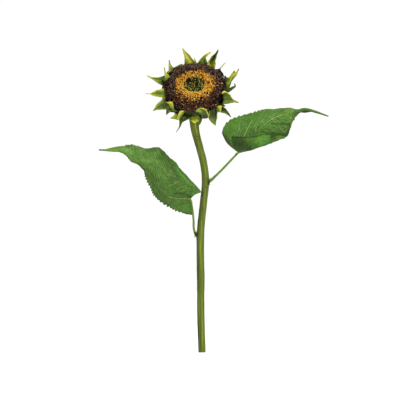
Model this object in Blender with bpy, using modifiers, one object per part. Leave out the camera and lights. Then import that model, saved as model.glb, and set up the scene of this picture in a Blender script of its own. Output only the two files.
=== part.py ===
"""A sunflower plant: one stem, two leaves and a seed head ringed by green bracts, with its ray petals gone.

Run with: blender --background --python part.py
+Z is up, the front is -Y, and the origin is the middle of the flat cut under the stem. Sizes are in
millimetres, which MM turns into Blender's metres.
"""

import math
import random
from collections import namedtuple

import bmesh
import bpy
from mathutils import Matrix, Vector

MM = 0.001
JOINT_GAP = 0.3  # where one piece of the plant meets the next
WELD = 0.00001  # metres

# ---- the seed head: a round cup on the stem's end, whose open side looks forwards and up ----
HEAD_CENTRE = Vector((-15, -26, 531))
FACE_ELEVATION = 44  # degrees that the face looks up by
DISC_RADIUS = 63
CUP_RADIUS = 55
COLLAR_RADIUS = 38  # of the narrower step behind the cup
CUP_TOP = -12.6  # heights on the head are measured along its axis, from the disc's widest circle
CUP_BACK = -42
NECK_RADIUS = 14
GOLD_RADIUS = 40.5
EYE_RADIUS = 22.5
SEED_FOOT = CUP_TOP + JOINT_GAP

# ---- the stem, from its cut to the head: height, sideways, backwards, radius ----
STEM_PATH = (
    (0, 0, 0, 7.2),
    (70, -2.2, 0, 7.3),
    (150, -2.5, 0, 7.5),
    (205, -3.3, 1, 7.5),
    (253, -1.9, 1, 7.4),
    (300, 3, 1, 7.2),
    (343, 6.8, 2, 7.1),
    (376, 3.5, 3, 7.1),
    (409, -4.5, 5, 7.2),
    (440, -12.9, 8, 7.9),
    (462, -15.7, 11.5, 9.3),
    (482, -15.4, 12.5, 11.4),
)
STEM_TOP_HANDLE = 9

# ---- leaf stalks: the stub on the stem, then sideways, backwards, height, radius along the stalk ----
STUB_RADIUS = 3.4
STUB_REACH = 9  # from the stem's axis to the stub's flat end
LEFT_STUB_HEIGHT = 235.5
RIGHT_STUB_HEIGHT = 342
STALK_FOOT_RADIUS = 2.2
STALK_TOP_RADIUS = 1.8
STALK_SETBACK = 0.85  # of its end from the bottom of the leaf's midrib
LEFT_STALK = (
    (-15.3, -1.5, 243, 2.1),
    (-17, -8, 266, 1.9),
    (-20.5, -18, 294, 1.8),
)
RIGHT_STALK = (
    (27, -2, 350.5, 2.3),
    (48, -6, 374, 2.1),
    (66, -9, 393, 1.9),
)

# ---- leaf blades: rows from base to tip, each from the far margin over the midrib to the near margin ----
LEAF_THICKNESS = 2.4
LEAF_ROWS = 16
LEAF_COLUMNS = 8
LEFT_LEAF = (
    ((-3, -16, 321), (-15, -20, 315.5), (-23, -23, 305.5), (-19.8, -34, 292), (-20, -43, 278)),
    ((-31, -10, 353.5), (-36, -22, 336), (-40, -31, 318), (-43, -50, 301), (-47, -66, 281.5)),
    ((-57, -8, 383.5), (-60, -24, 359), (-62, -37, 334), (-68, -57, 315), (-75, -76, 295)),
    ((-84, -13, 408.5), (-84, -28, 380), (-85, -39, 352), (-91, -59, 336), (-98, -78, 322)),
    ((-110, -14, 408), (-109, -26, 390), (-108, -36, 372), (-111, -53, 364), (-115, -70, 359)),
    ((-140, -14, 417), (-136, -21, 404), (-131, -28, 390), (-133, -40, 384), (-137, -52, 381.5)),
    ((-166, -12, 412), (-162, -15, 407.5), (-157, -18, 403), (-157, -24, 401), (-159, -31, 400)),
    ((-192, -5, 407), (-189, -6, 406), (-186, -7, 405), (-186, -9.5, 403.5), (-186, -12, 402.5)),
    ((-206, 2, 406.3), (-206, 1.7, 406), (-206, 1.3, 405.6), (-206, 0.7, 405), (-206, 0, 404.6)),
)
RIGHT_LEAF = (
    ((40.5, 10, 436), (53.5, -3, 415), (73, -11, 400), (67, -26, 411), (59, -37, 428)),
    ((53, 22, 461.5), (68, 6, 439), (86, -6, 415), (94, -34, 405), (82, -47, 431)),
    ((86, 28, 474), (92, 10, 453), (102, -3, 431), (113, -33, 409), (104, -48, 432)),
    ((118, 28, 484.5), (118, 12, 467), (120, -1, 449), (132, -32, 417), (126, -46, 437)),
    ((148, 24, 487.5), (143, 11, 476), (139, 0, 463), (152, -28, 426), (150, -42, 437)),
    ((166, 18, 488), (162, 8, 481), (159, 0, 473.5), (166, -20, 436), (172, -33, 436)),
    ((181, 11, 489), (178, 5, 484), (176, 0, 478.5), (178, -8, 467), (180, -17, 458)),
    ((193, 4, 486.5), (191, 2, 484.5), (190, 0, 482.5), (191, -3, 479.5), (191.5, -7, 476.5)),
    ((206, 2, 489.5), (206, 0, 488), (206, -1, 486), (207, -3, 482), (207.5, -5, 480)),
    ((226, -2, 484), (226, -3, 483), (226, -4, 482), (226, -5.5, 480.5), (226, -7, 479.5)),
    ((253, -9, 473), (253, -9.3, 472.7), (253, -9.6, 472.4), (253, -10.2, 471.9), (253, -10.8, 471.4)),
)

# ---- bracts. Angles go round the face from its right, anticlockwise; out and up throw the middle away
# from the straight line to the tip, twist turns the blade, and a tail draws the tip out ----
Bract = namedtuple("Bract", "clock tip_clock reach height width out up twist tail", defaults=(0, 0, 0, 0))
BRACT_THICKNESS = 1.2
BRACT_WIDEST = 0.25  # of its length
BRACT_TIP = 0.9
BRACT_ROOT_GAP = 0.45  # JOINT_GAP and room for its root's slant
BRACT_SETTLES = 0.25  # of its length, over which it turns from straight out and cups
BRACT_CUPPING = 0.3
BRACT_MIDDLE = 0.45  # of the way from root to tip, where these throw it out and down from the line
BRACT_OUT = 6
BRACT_DOWN = 3
BRACT_ROWS = 6
UPPER_ROOT = -17
LOWER_ROOT = -23.5
BACK_ROOT = -35.5
UPPER_BRACTS = (
    Bract(98, 104.5, 97, 14, 25),
    Bract(79, 69, 91, 12, 20),
    Bract(47, 44, 87, 8, 4),
    Bract(14, 26.5, 99, 6, 30),
    Bract(-26, -27, 98, 2, 28),
    Bract(-46, -53, 85, -2, 9),
    Bract(-64, -88.5, 74, 6, 18, out=18, up=4),
    Bract(-111, -106, 75, 6, 7, out=10, up=4),
    Bract(-122, -138, 79, 10, 15, out=10, up=6),
    Bract(-146, -143.5, 103, -6, 26),
    Bract(151, 144.5, 74, 12, 10),
    Bract(136, 128, 82, 10, 18),
)
LOWER_BRACTS = (
    Bract(120, 110, 68, 2, 16, out=4),
    Bract(87, 90, 80, 0, 7),
    Bract(60, 62, 101, 14, 22),
    Bract(-9, -3, 80, 14, 17, out=6, twist=20),
    Bract(-40, -45.5, 103, -12, 18),
    Bract(-59, -63, 92, -26, 22),
    Bract(-103, -113, 96, -38, 25, tail=0.8),
    Bract(-121, -122.5, 87, -14, 13),
    Bract(-135, -134, 81, -20, 13),
    Bract(-168, -168.5, 99, 2, 25, tail=0.4),
    Bract(162, 164, 98, 6, 29),
)
BACK_BRACTS = (
    Bract(-94, -91, 62, -38, 18),
    Bract(-72, -80, 67, -38, 11),
)
HIDDEN_BRACTS = 10  # evenly round the rest of the cup's back, from one angle on the face to another
HIDDEN_FROM = -46
HIDDEN_TO = 215
HIDDEN_SWING = 3
HIDDEN_REACH = 60
HIDDEN_WIDTH = 16

STEM_GREEN = (0.16, 0.20, 0.035)
LEAF_GREEN = (0.10, 0.20, 0.04)
STALK_GREEN = (0.17, 0.29, 0.06)
BRACT_GREEN = (0.18, 0.24, 0.05)
CUP_GREEN = (0.14, 0.20, 0.05)
SEED_BROWN = (0.055, 0.032, 0.020)
FLORET_GOLD = (0.55, 0.25, 0.035)
EYE_GREEN = (0.10, 0.10, 0.03)


def clear_scene():
    for item in list(bpy.data.objects):
        bpy.data.objects.remove(item)


def new_material(name, colour, roughness):
    material = bpy.data.materials.new(name)
    material.use_nodes = True
    surface = material.node_tree.nodes["Principled BSDF"]
    surface.inputs["Base Color"].default_value = (*colour, 1)
    surface.inputs["Roughness"].default_value = roughness
    surface.inputs["Metallic"].default_value = 0
    return material


def add_object(name, data, collection, colour, roughness, parent=None):
    piece = bpy.data.objects.new(name, data)
    piece.data.materials.append(new_material(name, colour, roughness))
    piece.parent = parent
    collection.objects.link(piece)
    return piece


def head_empty(collection):
    """An empty at the head's middle whose Z runs out of the face."""
    empty = bpy.data.objects.new("head", None)
    empty.location = HEAD_CENTRE * MM
    empty.rotation_euler = (math.radians(90 - FACE_ELEVATION), 0, 0)
    collection.objects.link(empty)
    return empty


def head_axis():
    elevation = math.radians(FACE_ELEVATION)
    return Vector((0, -math.cos(elevation), math.sin(elevation)))


def along(points, share):
    """A smooth curve through the points, at a share of its length from 0 to 1 (Catmull-Rom)."""
    spans = len(points) - 1
    span = min(int(share * spans), spans - 1)
    t = share * spans - span
    a, b, c, d = (Vector(points[max(0, min(spans, span + k))]) for k in (-1, 0, 1, 2))
    return 0.5 * (2 * b + (c - a) * t + (2 * a - 5 * b + 4 * c - d) * t**2 + (3 * b - a - 3 * c + d) * t**3)


def grid_mesh(name, rows):
    """A sheet through the rows of points, in millimetres."""
    mesh = bpy.data.meshes.new(name)
    sheet = bmesh.new()
    vertices = [[sheet.verts.new(point * MM) for point in row] for row in rows]
    for near, far in zip(vertices, vertices[1:]):
        for k in range(len(near) - 1):
            sheet.faces.new((near[k], near[k + 1], far[k + 1], far[k]))
    sheet.to_mesh(mesh)
    sheet.free()
    return mesh


def thicken(piece, thickness):
    solid = piece.modifiers.new("thickness", "SOLIDIFY")
    solid.thickness = thickness * MM
    solid.offset = 0


# ---- stem and stalks ----


def tube(name, path, sides_level, steps):
    """A curve through (x, y, z, radius) points with round sides and flat ends."""
    curve = bpy.data.curves.new(name, "CURVE")
    curve.dimensions = "3D"
    curve.bevel_depth = MM
    curve.bevel_resolution = sides_level
    curve.resolution_u = steps
    curve.use_fill_caps = True
    spline = curve.splines.new("BEZIER")
    spline.bezier_points.add(len(path) - 1)
    for point, (x, y, z, radius) in zip(spline.bezier_points, path):
        point.co = Vector((x, y, z)) * MM
        point.radius = radius
        point.handle_left_type = "AUTO"
        point.handle_right_type = "AUTO"
    return curve


def aim_end(point, direction, length):
    """Makes an end of a curve leave along a direction, so that its flat cap faces that way."""
    point.handle_left_type = "FREE"
    point.handle_right_type = "FREE"
    point.handle_left = point.co - direction * length * MM
    point.handle_right = point.co + direction * length * MM


def stem_place(height):
    """The stem's axis at a height: sideways and backwards."""
    for low, high in zip(STEM_PATH, STEM_PATH[1:]):
        if low[0] <= height <= high[0]:
            share = (height - low[0]) / (high[0] - low[0])
            return Vector((low[1], low[2], low[0])).lerp(Vector((high[1], high[2], high[0])), share)
    raise ValueError(height)


def stub(side, height):
    """A short round socket on the stem's side that a leaf stalk comes out of."""
    middle = stem_place(height) + Vector((side * STUB_REACH / 2, 0, 0))
    bpy.ops.mesh.primitive_cylinder_add(
        vertices=12,
        radius=STUB_RADIUS * MM,
        depth=STUB_REACH * MM,
        location=middle * MM,
        rotation=(0, math.pi / 2, 0),
    )
    return bpy.context.object


def as_mesh(piece, collection):
    """The same object with its curve and modifiers turned into a plain mesh, its caps welded on."""
    bpy.context.view_layer.update()
    evaluated = piece.evaluated_get(bpy.context.evaluated_depsgraph_get())
    mesh = bpy.data.meshes.new_from_object(evaluated)
    welded = bmesh.new()
    welded.from_mesh(mesh)
    bmesh.ops.remove_doubles(welded, verts=welded.verts, dist=WELD)
    welded.to_mesh(mesh)
    welded.free()
    name = piece.name
    bpy.data.objects.remove(piece)
    solid = bpy.data.objects.new(name, mesh)
    collection.objects.link(solid)
    return solid


def stem(collection):
    top = HEAD_CENTRE + head_axis() * (CUP_BACK - JOINT_GAP)
    path = [(x, y, z, radius) for z, x, y, radius in STEM_PATH] + [(*top, NECK_RADIUS)]
    curve = tube("stem", path, 5, 2)
    points = curve.splines[0].bezier_points
    aim_end(points[0], Vector((0, 0, 1)), 20)
    aim_end(points[-1], head_axis(), STEM_TOP_HANDLE)
    body = as_mesh(add_object("stem", curve, collection, STEM_GREEN, 0.6), collection)
    sockets = [stub(-1, LEFT_STUB_HEIGHT), stub(1, RIGHT_STUB_HEIGHT)]
    for socket in sockets:
        union = body.modifiers.new("stub", "BOOLEAN")
        union.operation = "UNION"
        union.object = socket
        union.solver = "MANIFOLD"
    as_mesh(body, collection)
    for socket in sockets:
        bpy.data.objects.remove(socket)


def stalk(name, side, height, path, leaf, collection):
    """A leaf stalk from its stub on the stem to the base of the leaf's midrib."""
    start = stem_place(height) + Vector((side * (STUB_REACH + JOINT_GAP), 0, 0))
    base = Vector(leaf[0][2])
    course = (Vector(leaf[1][2]) - base).normalized()
    end = base - course * STALK_SETBACK
    points = [(*start, STALK_FOOT_RADIUS), *path, (*end, STALK_TOP_RADIUS)]
    curve = tube(name, points, 2, 3)
    ends = curve.splines[0].bezier_points
    aim_end(ends[0], Vector((side, 0, 0)), 2.5)
    aim_end(ends[-1], course, 6)
    add_object(name, curve, collection, STALK_GREEN, 0.55)


# ---- leaves ----


def leaf_row(stations, share):
    """One row of a blade, a smooth curve through five points that each run from base to tip."""
    guides = [along([row[k] for row in stations], share) for k in range(5)]
    return [along(guides, k / LEAF_COLUMNS) for k in range(LEAF_COLUMNS + 1)]


def leaf(name, stations, collection):
    rows = [leaf_row(stations, k / LEAF_ROWS) for k in range(LEAF_ROWS + 1)]
    piece = add_object(name, grid_mesh(name, rows), collection, LEAF_GREEN, 0.6)
    thicken(piece, LEAF_THICKNESS)


# ---- head ----


def turned(name, profile, head, collection, colour, roughness, steps=40):
    """A solid turned round the head's axis from (radius, height) points that end on it or form a loop."""
    mesh = bpy.data.meshes.new(name)
    vertices = [(radius * MM, 0, height * MM) for radius, height in profile]
    closed = profile[0][0] > 0
    edges = [(k, k + 1) for k in range(len(profile) - 1)] + ([(len(profile) - 1, 0)] if closed else [])
    mesh.from_pydata(vertices, edges, [])
    piece = add_object(name, mesh, collection, colour, roughness, head)
    turn = piece.modifiers.new("turn", "SCREW")
    turn.axis = "Z"
    turn.steps = steps
    turn.render_steps = steps
    turn.use_merge_vertices = True
    turn.merge_threshold = WELD
    turn.use_normal_flip = True
    return piece


def cup(head, collection):
    profile = (
        (0, CUP_BACK),
        (NECK_RADIUS + 1, CUP_BACK),
        (COLLAR_RADIUS - 3, CUP_BACK + 1.5),
        (COLLAR_RADIUS, CUP_BACK + 4),
        (COLLAR_RADIUS, -31.5),
        (CUP_RADIUS - 4, -28.5),
        (CUP_RADIUS, -26),
        (CUP_RADIUS, CUP_TOP - 1),
        (CUP_RADIUS - 1, CUP_TOP),
        (0, CUP_TOP),
    )
    turned("receptacle", profile, head, collection, CUP_GREEN, 0.7)


def disc(head, collection):
    """The three rings of florets: brown seeds outside, gold florets, and the green eye."""
    seeds = (
        (GOLD_RADIUS, SEED_FOOT),
        (58, SEED_FOOT),
        (61.5, -7),
        (DISC_RADIUS, -1),
        (61.5, 4),
        (56, 8.5),
        (48, 11),
        (GOLD_RADIUS, 12),
    )
    gold = (
        (EYE_RADIUS, SEED_FOOT),
        (GOLD_RADIUS - JOINT_GAP, SEED_FOOT),
        (GOLD_RADIUS - JOINT_GAP, 12.5),
        (34, 12.5),
        (27, 10),
        (EYE_RADIUS, 6),
    )
    eye = (
        (0, SEED_FOOT),
        (EYE_RADIUS - JOINT_GAP, SEED_FOOT),
        (EYE_RADIUS - JOINT_GAP, 5.5),
        (14, 4),
        (0, 3.5),
    )
    turned("seed_disc", seeds, head, collection, SEED_BROWN, 0.9)
    turned("floret_ring", gold, head, collection, FLORET_GOLD, 0.8)
    turned("disc_eye", eye, head, collection, EYE_GREEN, 0.8, 24)


def ring_place(clock, reach, height):
    """A point on the head from its angle round the face, its distance from the axis and its height."""
    angle = math.radians(clock)
    return Vector((reach * math.cos(angle), reach * math.sin(angle), height))


def bract_spine(bract, root_radius, root_height, share):
    """The middle line of a bract, bent from its root past a thrown-out middle to its tip."""
    root = Vector((bract.clock, root_radius + BRACT_ROOT_GAP, root_height))
    tip = Vector((bract.tip_clock, bract.reach, bract.height))
    middle = root.lerp(tip, BRACT_MIDDLE) + Vector((0, bract.out + BRACT_OUT, bract.up - BRACT_DOWN))
    return ring_place(*(root * (1 - share) ** 2 + middle * 2 * share * (1 - share) + tip * share**2))


def bract_width(bract, share):
    """Widest where it passes the disc's edge, then drawn to a point."""
    if share < BRACT_WIDEST:
        return bract.width * (0.7 + 0.3 * math.sin(share / BRACT_WIDEST * math.pi / 2))
    rest = (1 - share) / (1 - BRACT_WIDEST)
    return max(bract.width * rest ** (1.1 + 1.6 * bract.tail), BRACT_TIP)


def bract_rows(bract, root_radius, root_height):
    rows = []
    for k in range(BRACT_ROWS + 1):
        share = k / BRACT_ROWS
        here = bract_spine(bract, root_radius, root_height, share)
        before = bract_spine(bract, root_radius, root_height, share - 0.01)
        away = Vector((here.x, here.y, 0)).normalized()
        settled = min(1, share / BRACT_SETTLES)
        course = away.lerp((here - before).normalized(), settled).normalized()
        out = course.cross(Vector((0, 0, 1))).normalized()
        out.rotate(Matrix.Rotation(math.radians(bract.twist) * share, 3, course))
        lift = out.cross(course) * BRACT_CUPPING * settled
        half = bract_width(bract, share) / 2
        rows.append([here + (out * side + lift * abs(side)) * half for side in (-1, 0, 1)])
    return rows


def hidden_bracts():
    """The back whorl's bracts that lie behind the disc, from past the two that show to the other side."""
    whorl = []
    for k in range(HIDDEN_BRACTS):
        clock = HIDDEN_FROM + k * (HIDDEN_TO - HIDDEN_FROM) / (HIDDEN_BRACTS - 1)
        tip_clock = clock + random.uniform(-HIDDEN_SWING, HIDDEN_SWING)
        whorl.append(Bract(clock, tip_clock, HIDDEN_REACH, BACK_ROOT, HIDDEN_WIDTH))
    return tuple(whorl)


def bracts(head, collection):
    whorls = (
        (UPPER_BRACTS, CUP_RADIUS, UPPER_ROOT),
        (LOWER_BRACTS, CUP_RADIUS, LOWER_ROOT),
        (BACK_BRACTS + hidden_bracts(), COLLAR_RADIUS, BACK_ROOT),
    )
    number = 0
    for whorl, root_radius, root_height in whorls:
        for bract in whorl:
            number += 1
            name = f"bract_{number:02d}"
            mesh = grid_mesh(name, bract_rows(bract, root_radius, root_height))
            thicken(add_object(name, mesh, collection, BRACT_GREEN, 0.6, head), BRACT_THICKNESS)


def main():
    clear_scene()
    random.seed(7)
    collection = bpy.data.collections.new("sunflower_plant")
    bpy.context.scene.collection.children.link(collection)
    head = head_empty(collection)
    stem(collection)
    stalk("left_stalk", -1, LEFT_STUB_HEIGHT, LEFT_STALK, LEFT_LEAF, collection)
    stalk("right_stalk", 1, RIGHT_STUB_HEIGHT, RIGHT_STALK, RIGHT_LEAF, collection)
    leaf("left_leaf", LEFT_LEAF, collection)
    leaf("right_leaf", RIGHT_LEAF, collection)
    cup(head, collection)
    disc(head, collection)
    bracts(head, collection)


main()
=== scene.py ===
"""The looks of the sunflower plant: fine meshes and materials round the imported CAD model.

Sizes are in millimetres in the CAD model's frame, and MM turns them into Blender's metres. +Z is up and the
front is -Y. The named places of the stem, stalks, leaves, head and bracts are those of the CAD source, and
each fine mesh follows the rule that its CAD solid was made by.
"""

import math
import random
from collections import namedtuple

import bpy
import numpy as np
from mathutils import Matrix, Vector, noise
from mathutils.kdtree import KDTree


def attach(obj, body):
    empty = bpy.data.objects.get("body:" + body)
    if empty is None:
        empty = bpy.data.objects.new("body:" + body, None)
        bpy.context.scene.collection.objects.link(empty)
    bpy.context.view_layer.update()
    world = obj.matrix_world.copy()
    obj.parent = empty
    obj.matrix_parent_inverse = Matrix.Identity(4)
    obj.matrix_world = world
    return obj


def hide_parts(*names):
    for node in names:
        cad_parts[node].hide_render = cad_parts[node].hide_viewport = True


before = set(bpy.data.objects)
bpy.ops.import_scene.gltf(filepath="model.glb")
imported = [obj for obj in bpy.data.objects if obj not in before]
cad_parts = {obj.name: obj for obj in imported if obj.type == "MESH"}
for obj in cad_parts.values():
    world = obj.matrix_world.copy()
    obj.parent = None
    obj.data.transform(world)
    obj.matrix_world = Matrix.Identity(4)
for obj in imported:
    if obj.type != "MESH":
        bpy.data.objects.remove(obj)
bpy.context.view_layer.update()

MM = 0.001
BODY = "root"
LIGHT_LEVEL = 1.45  # how much brighter than its own colour a white-lit surface shows
UP = np.array((0, 0, 1))
# How fine the round meshes are: sides, and millimetres from ring to ring
STEM_MESH = (72, 1.6)
STALK_MESH = (24, 0.9)
CUP_MESH = (168, 1.2)
BED_MESH = (96, 1.5)
rng = random.Random(11)

# ---- the seed head ----
HEAD_CENTRE = np.array((-15, -26, 531))
LEAN = math.radians(44)  # how far the face looks up
FACE_UP = np.array((0, math.sin(LEAN), math.cos(LEAN)))
FACE_OUT = np.array((0, -math.cos(LEAN), math.sin(LEAN)))
CUP_RADIUS = 55
COLLAR_RADIUS = 38
CUP_TOP = -12.6
CUP_BACK = -42
JOINT_GAP = 0.3
NECK_RADIUS = 14
GOLD_RADIUS = 40.5
EYE_RADIUS = 22.5

# ---- the stem: height, sideways, backwards, radius ----
STEM_PATH = (
    (0, 0, 0, 7.2),
    (70, -2.2, 0, 7.3),
    (150, -2.5, 0, 7.5),
    (205, -3.3, 1, 7.5),
    (253, -1.9, 1, 7.4),
    (300, 3, 1, 7.2),
    (343, 6.8, 2, 7.1),
    (376, 3.5, 3, 7.1),
    (409, -4.5, 5, 7.2),
    (440, -12.9, 8, 7.9),
    (462, -15.7, 11.5, 9.3),
    (482, -15.4, 12.5, 11.4),
)
STEM_FOOT_HANDLE = 20
STEM_TOP_HANDLE = 9
STEM_RIBS = 11
HANDLE_SHARE = 2.5614  # how Blender shortens an automatic handle
CURVE_STEPS = 24

# ---- leaf stalks: sideways, backwards, height, radius along the stalk ----
STUBS = ((-1, 235.5), (1, 342))  # to the left or right, and height
STUB_REACH = 9
STUB_OVERLAP = 3  # how far a stalk's foot goes into its stub
STALK_FOOT_RADIUS = 2.2
STALK_TOP_RADIUS = 1.8
STALK_SWELL = 1.1  # how much fuller it is drawn than in the CAD
STALK_FOOT_REACH = 3.2
STALK_FOOT_RISE = 1.6
LEFT_STALK = (
    (-15.3, -1.5, 243, 2.1),
    (-17, -8, 266, 1.9),
    (-20.5, -18, 294, 1.8),
)
RIGHT_STALK = (
    (27, -2, 353, 2.2),
    (48, -6, 374, 2.1),
    (66, -9, 393, 1.9),
)

# ---- leaf blades: rows from base to tip, each from the far margin over the midrib to the near margin ----
LEFT_LEAF = (
    ((-0.5, -15.5, 320.5), (-13.5, -20, 315.7), (-23, -23, 305.5), (-19.8, -34, 292), (-20, -43, 278)),
    ((-31, -10, 353.5), (-36, -22, 336), (-40, -31, 318), (-43, -50, 301), (-47, -66, 281.5)),
    ((-57, -8, 383.5), (-60, -24, 359), (-62, -37, 334), (-68, -57, 315), (-75, -76, 295)),
    ((-84, -13, 408.5), (-84, -28, 380), (-85, -39, 352), (-91, -59, 336), (-98, -78, 322)),
    ((-110, -14, 408), (-109, -26, 390), (-108, -36, 372), (-111, -53, 364), (-115, -70, 359)),
    ((-140, -14, 417), (-136, -21, 404), (-131, -28, 390), (-133, -40, 384), (-137, -52, 381.5)),
    ((-166, -12, 412), (-162, -15, 407.5), (-157, -18, 403), (-157, -24, 401), (-159, -31, 400)),
    ((-192, -5, 407), (-189, -6, 406), (-186, -7, 405), (-186, -9.5, 403.5), (-186, -12, 402.5)),
    ((-206, 2, 406.3), (-206, 1.7, 406), (-206, 1.3, 405.6), (-206, 0.7, 405), (-206, 0, 404.6)),
)
RIGHT_LEAF = (
    ((40.5, 10, 437), (50.5, -3, 418), (73, -11, 400), (61.5, -27, 415.5), (59, -37, 432)),
    ((53, 22, 461.5), (68, 6, 439), (85, -10, 406.5), (91, -34, 404), (82, -47, 431)),
    ((86, 28, 474), (92, 10, 453), (102, -3, 431), (113, -33, 409), (104, -48, 432)),
    ((118, 28, 484.5), (118, 12, 467), (120, -1, 449), (132, -32, 417), (126, -46, 437)),
    ((148, 24, 487.5), (143, 11, 476), (139, 0, 463), (152, -28, 426), (150, -42, 437)),
    ((166, 18, 488), (162, 8, 481), (159, 0, 473.5), (166, -20, 436), (172, -33, 436)),
    ((181, 11, 489), (178, 5, 484), (176, 0, 478.5), (178, -8, 467), (180, -17, 458)),
    ((193, 4, 486.5), (191, 2, 484.5), (190, 0, 482.5), (191, -3, 479.5), (191.5, -7, 476.5)),
    ((206, 4, 489), (206, 2, 485), (206, 0, 480.6), (206.5, -3, 482), (207, -5, 484.8)),
    ((226, -2, 484), (226, -3, 483), (226, -4, 482), (226, -5.5, 480.5), (226, -7, 479.5)),
    ((253, -9, 473), (253, -9.3, 472.7), (253, -9.6, 472.4), (253, -10.2, 471.9), (253, -10.8, 471.4)),
)
LEAF_ROWS = 300
LEAF_COLUMNS = 96
LEAF_THICKNESS = 1.0
LEAF_EDGE = 0.45  # thickness at its margin

# ---- bracts. Each has its root's place on the ring and width there, rows of left margin, middle and right
# margin up to its tip, each as (sideways, height as seen from the front, out of the face) from the head's
# centre, and its colours. Ripeness goes from 0, dark green, over 0.5, leaf green, to 1, yellow, from the root
# to the tip. core adds to it along the middle, left and right at a margin, burn browns the tip, and point is
# how wide the tip is. root, tip, core, left and right paint both the bract's ripeness and the light and shade
# that fall on it: a lit margin or middle lighter, a shaded side or root darker ----
Bract = namedtuple(
    "Bract",
    "clock width rows tip_place root tip core left right burn point",
    defaults=(0.3, 0.55, 0.1, 0.1, 0.1, 0.3, 0.9),
)
BRACT_ROOT_GAP = 0.45
BRACT_ROWS = 44
BRACT_COLUMNS = 18
BRACT_THICKNESS = 1.2
BRACT_EDGE = 0.4
RIM_RADIUS = 66  # where a bract comes out from under the disc
RIM_RISE = 7.5  # and how far above its root that is
RISEN = 5  # a first row this far above the root has already come out over the rim
OVER_RIM = (67, 3)  # radius and height at which one that lies on the disc comes over its rim
ON_DISC = (61, 2)  # within this radius and above this height, it lies on the disc
ROOT_SHARE = 0.8  # how much of its width a bract has at its root
UPPER_ROOT = -17
LOWER_ROOT = -23.5
BACK_ROOT = -35.5
SHADED_LEVEL = 0.7  # LIGHT_LEVEL for the bract in the head's shade, whose colours are painted lighter against that shade
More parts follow.
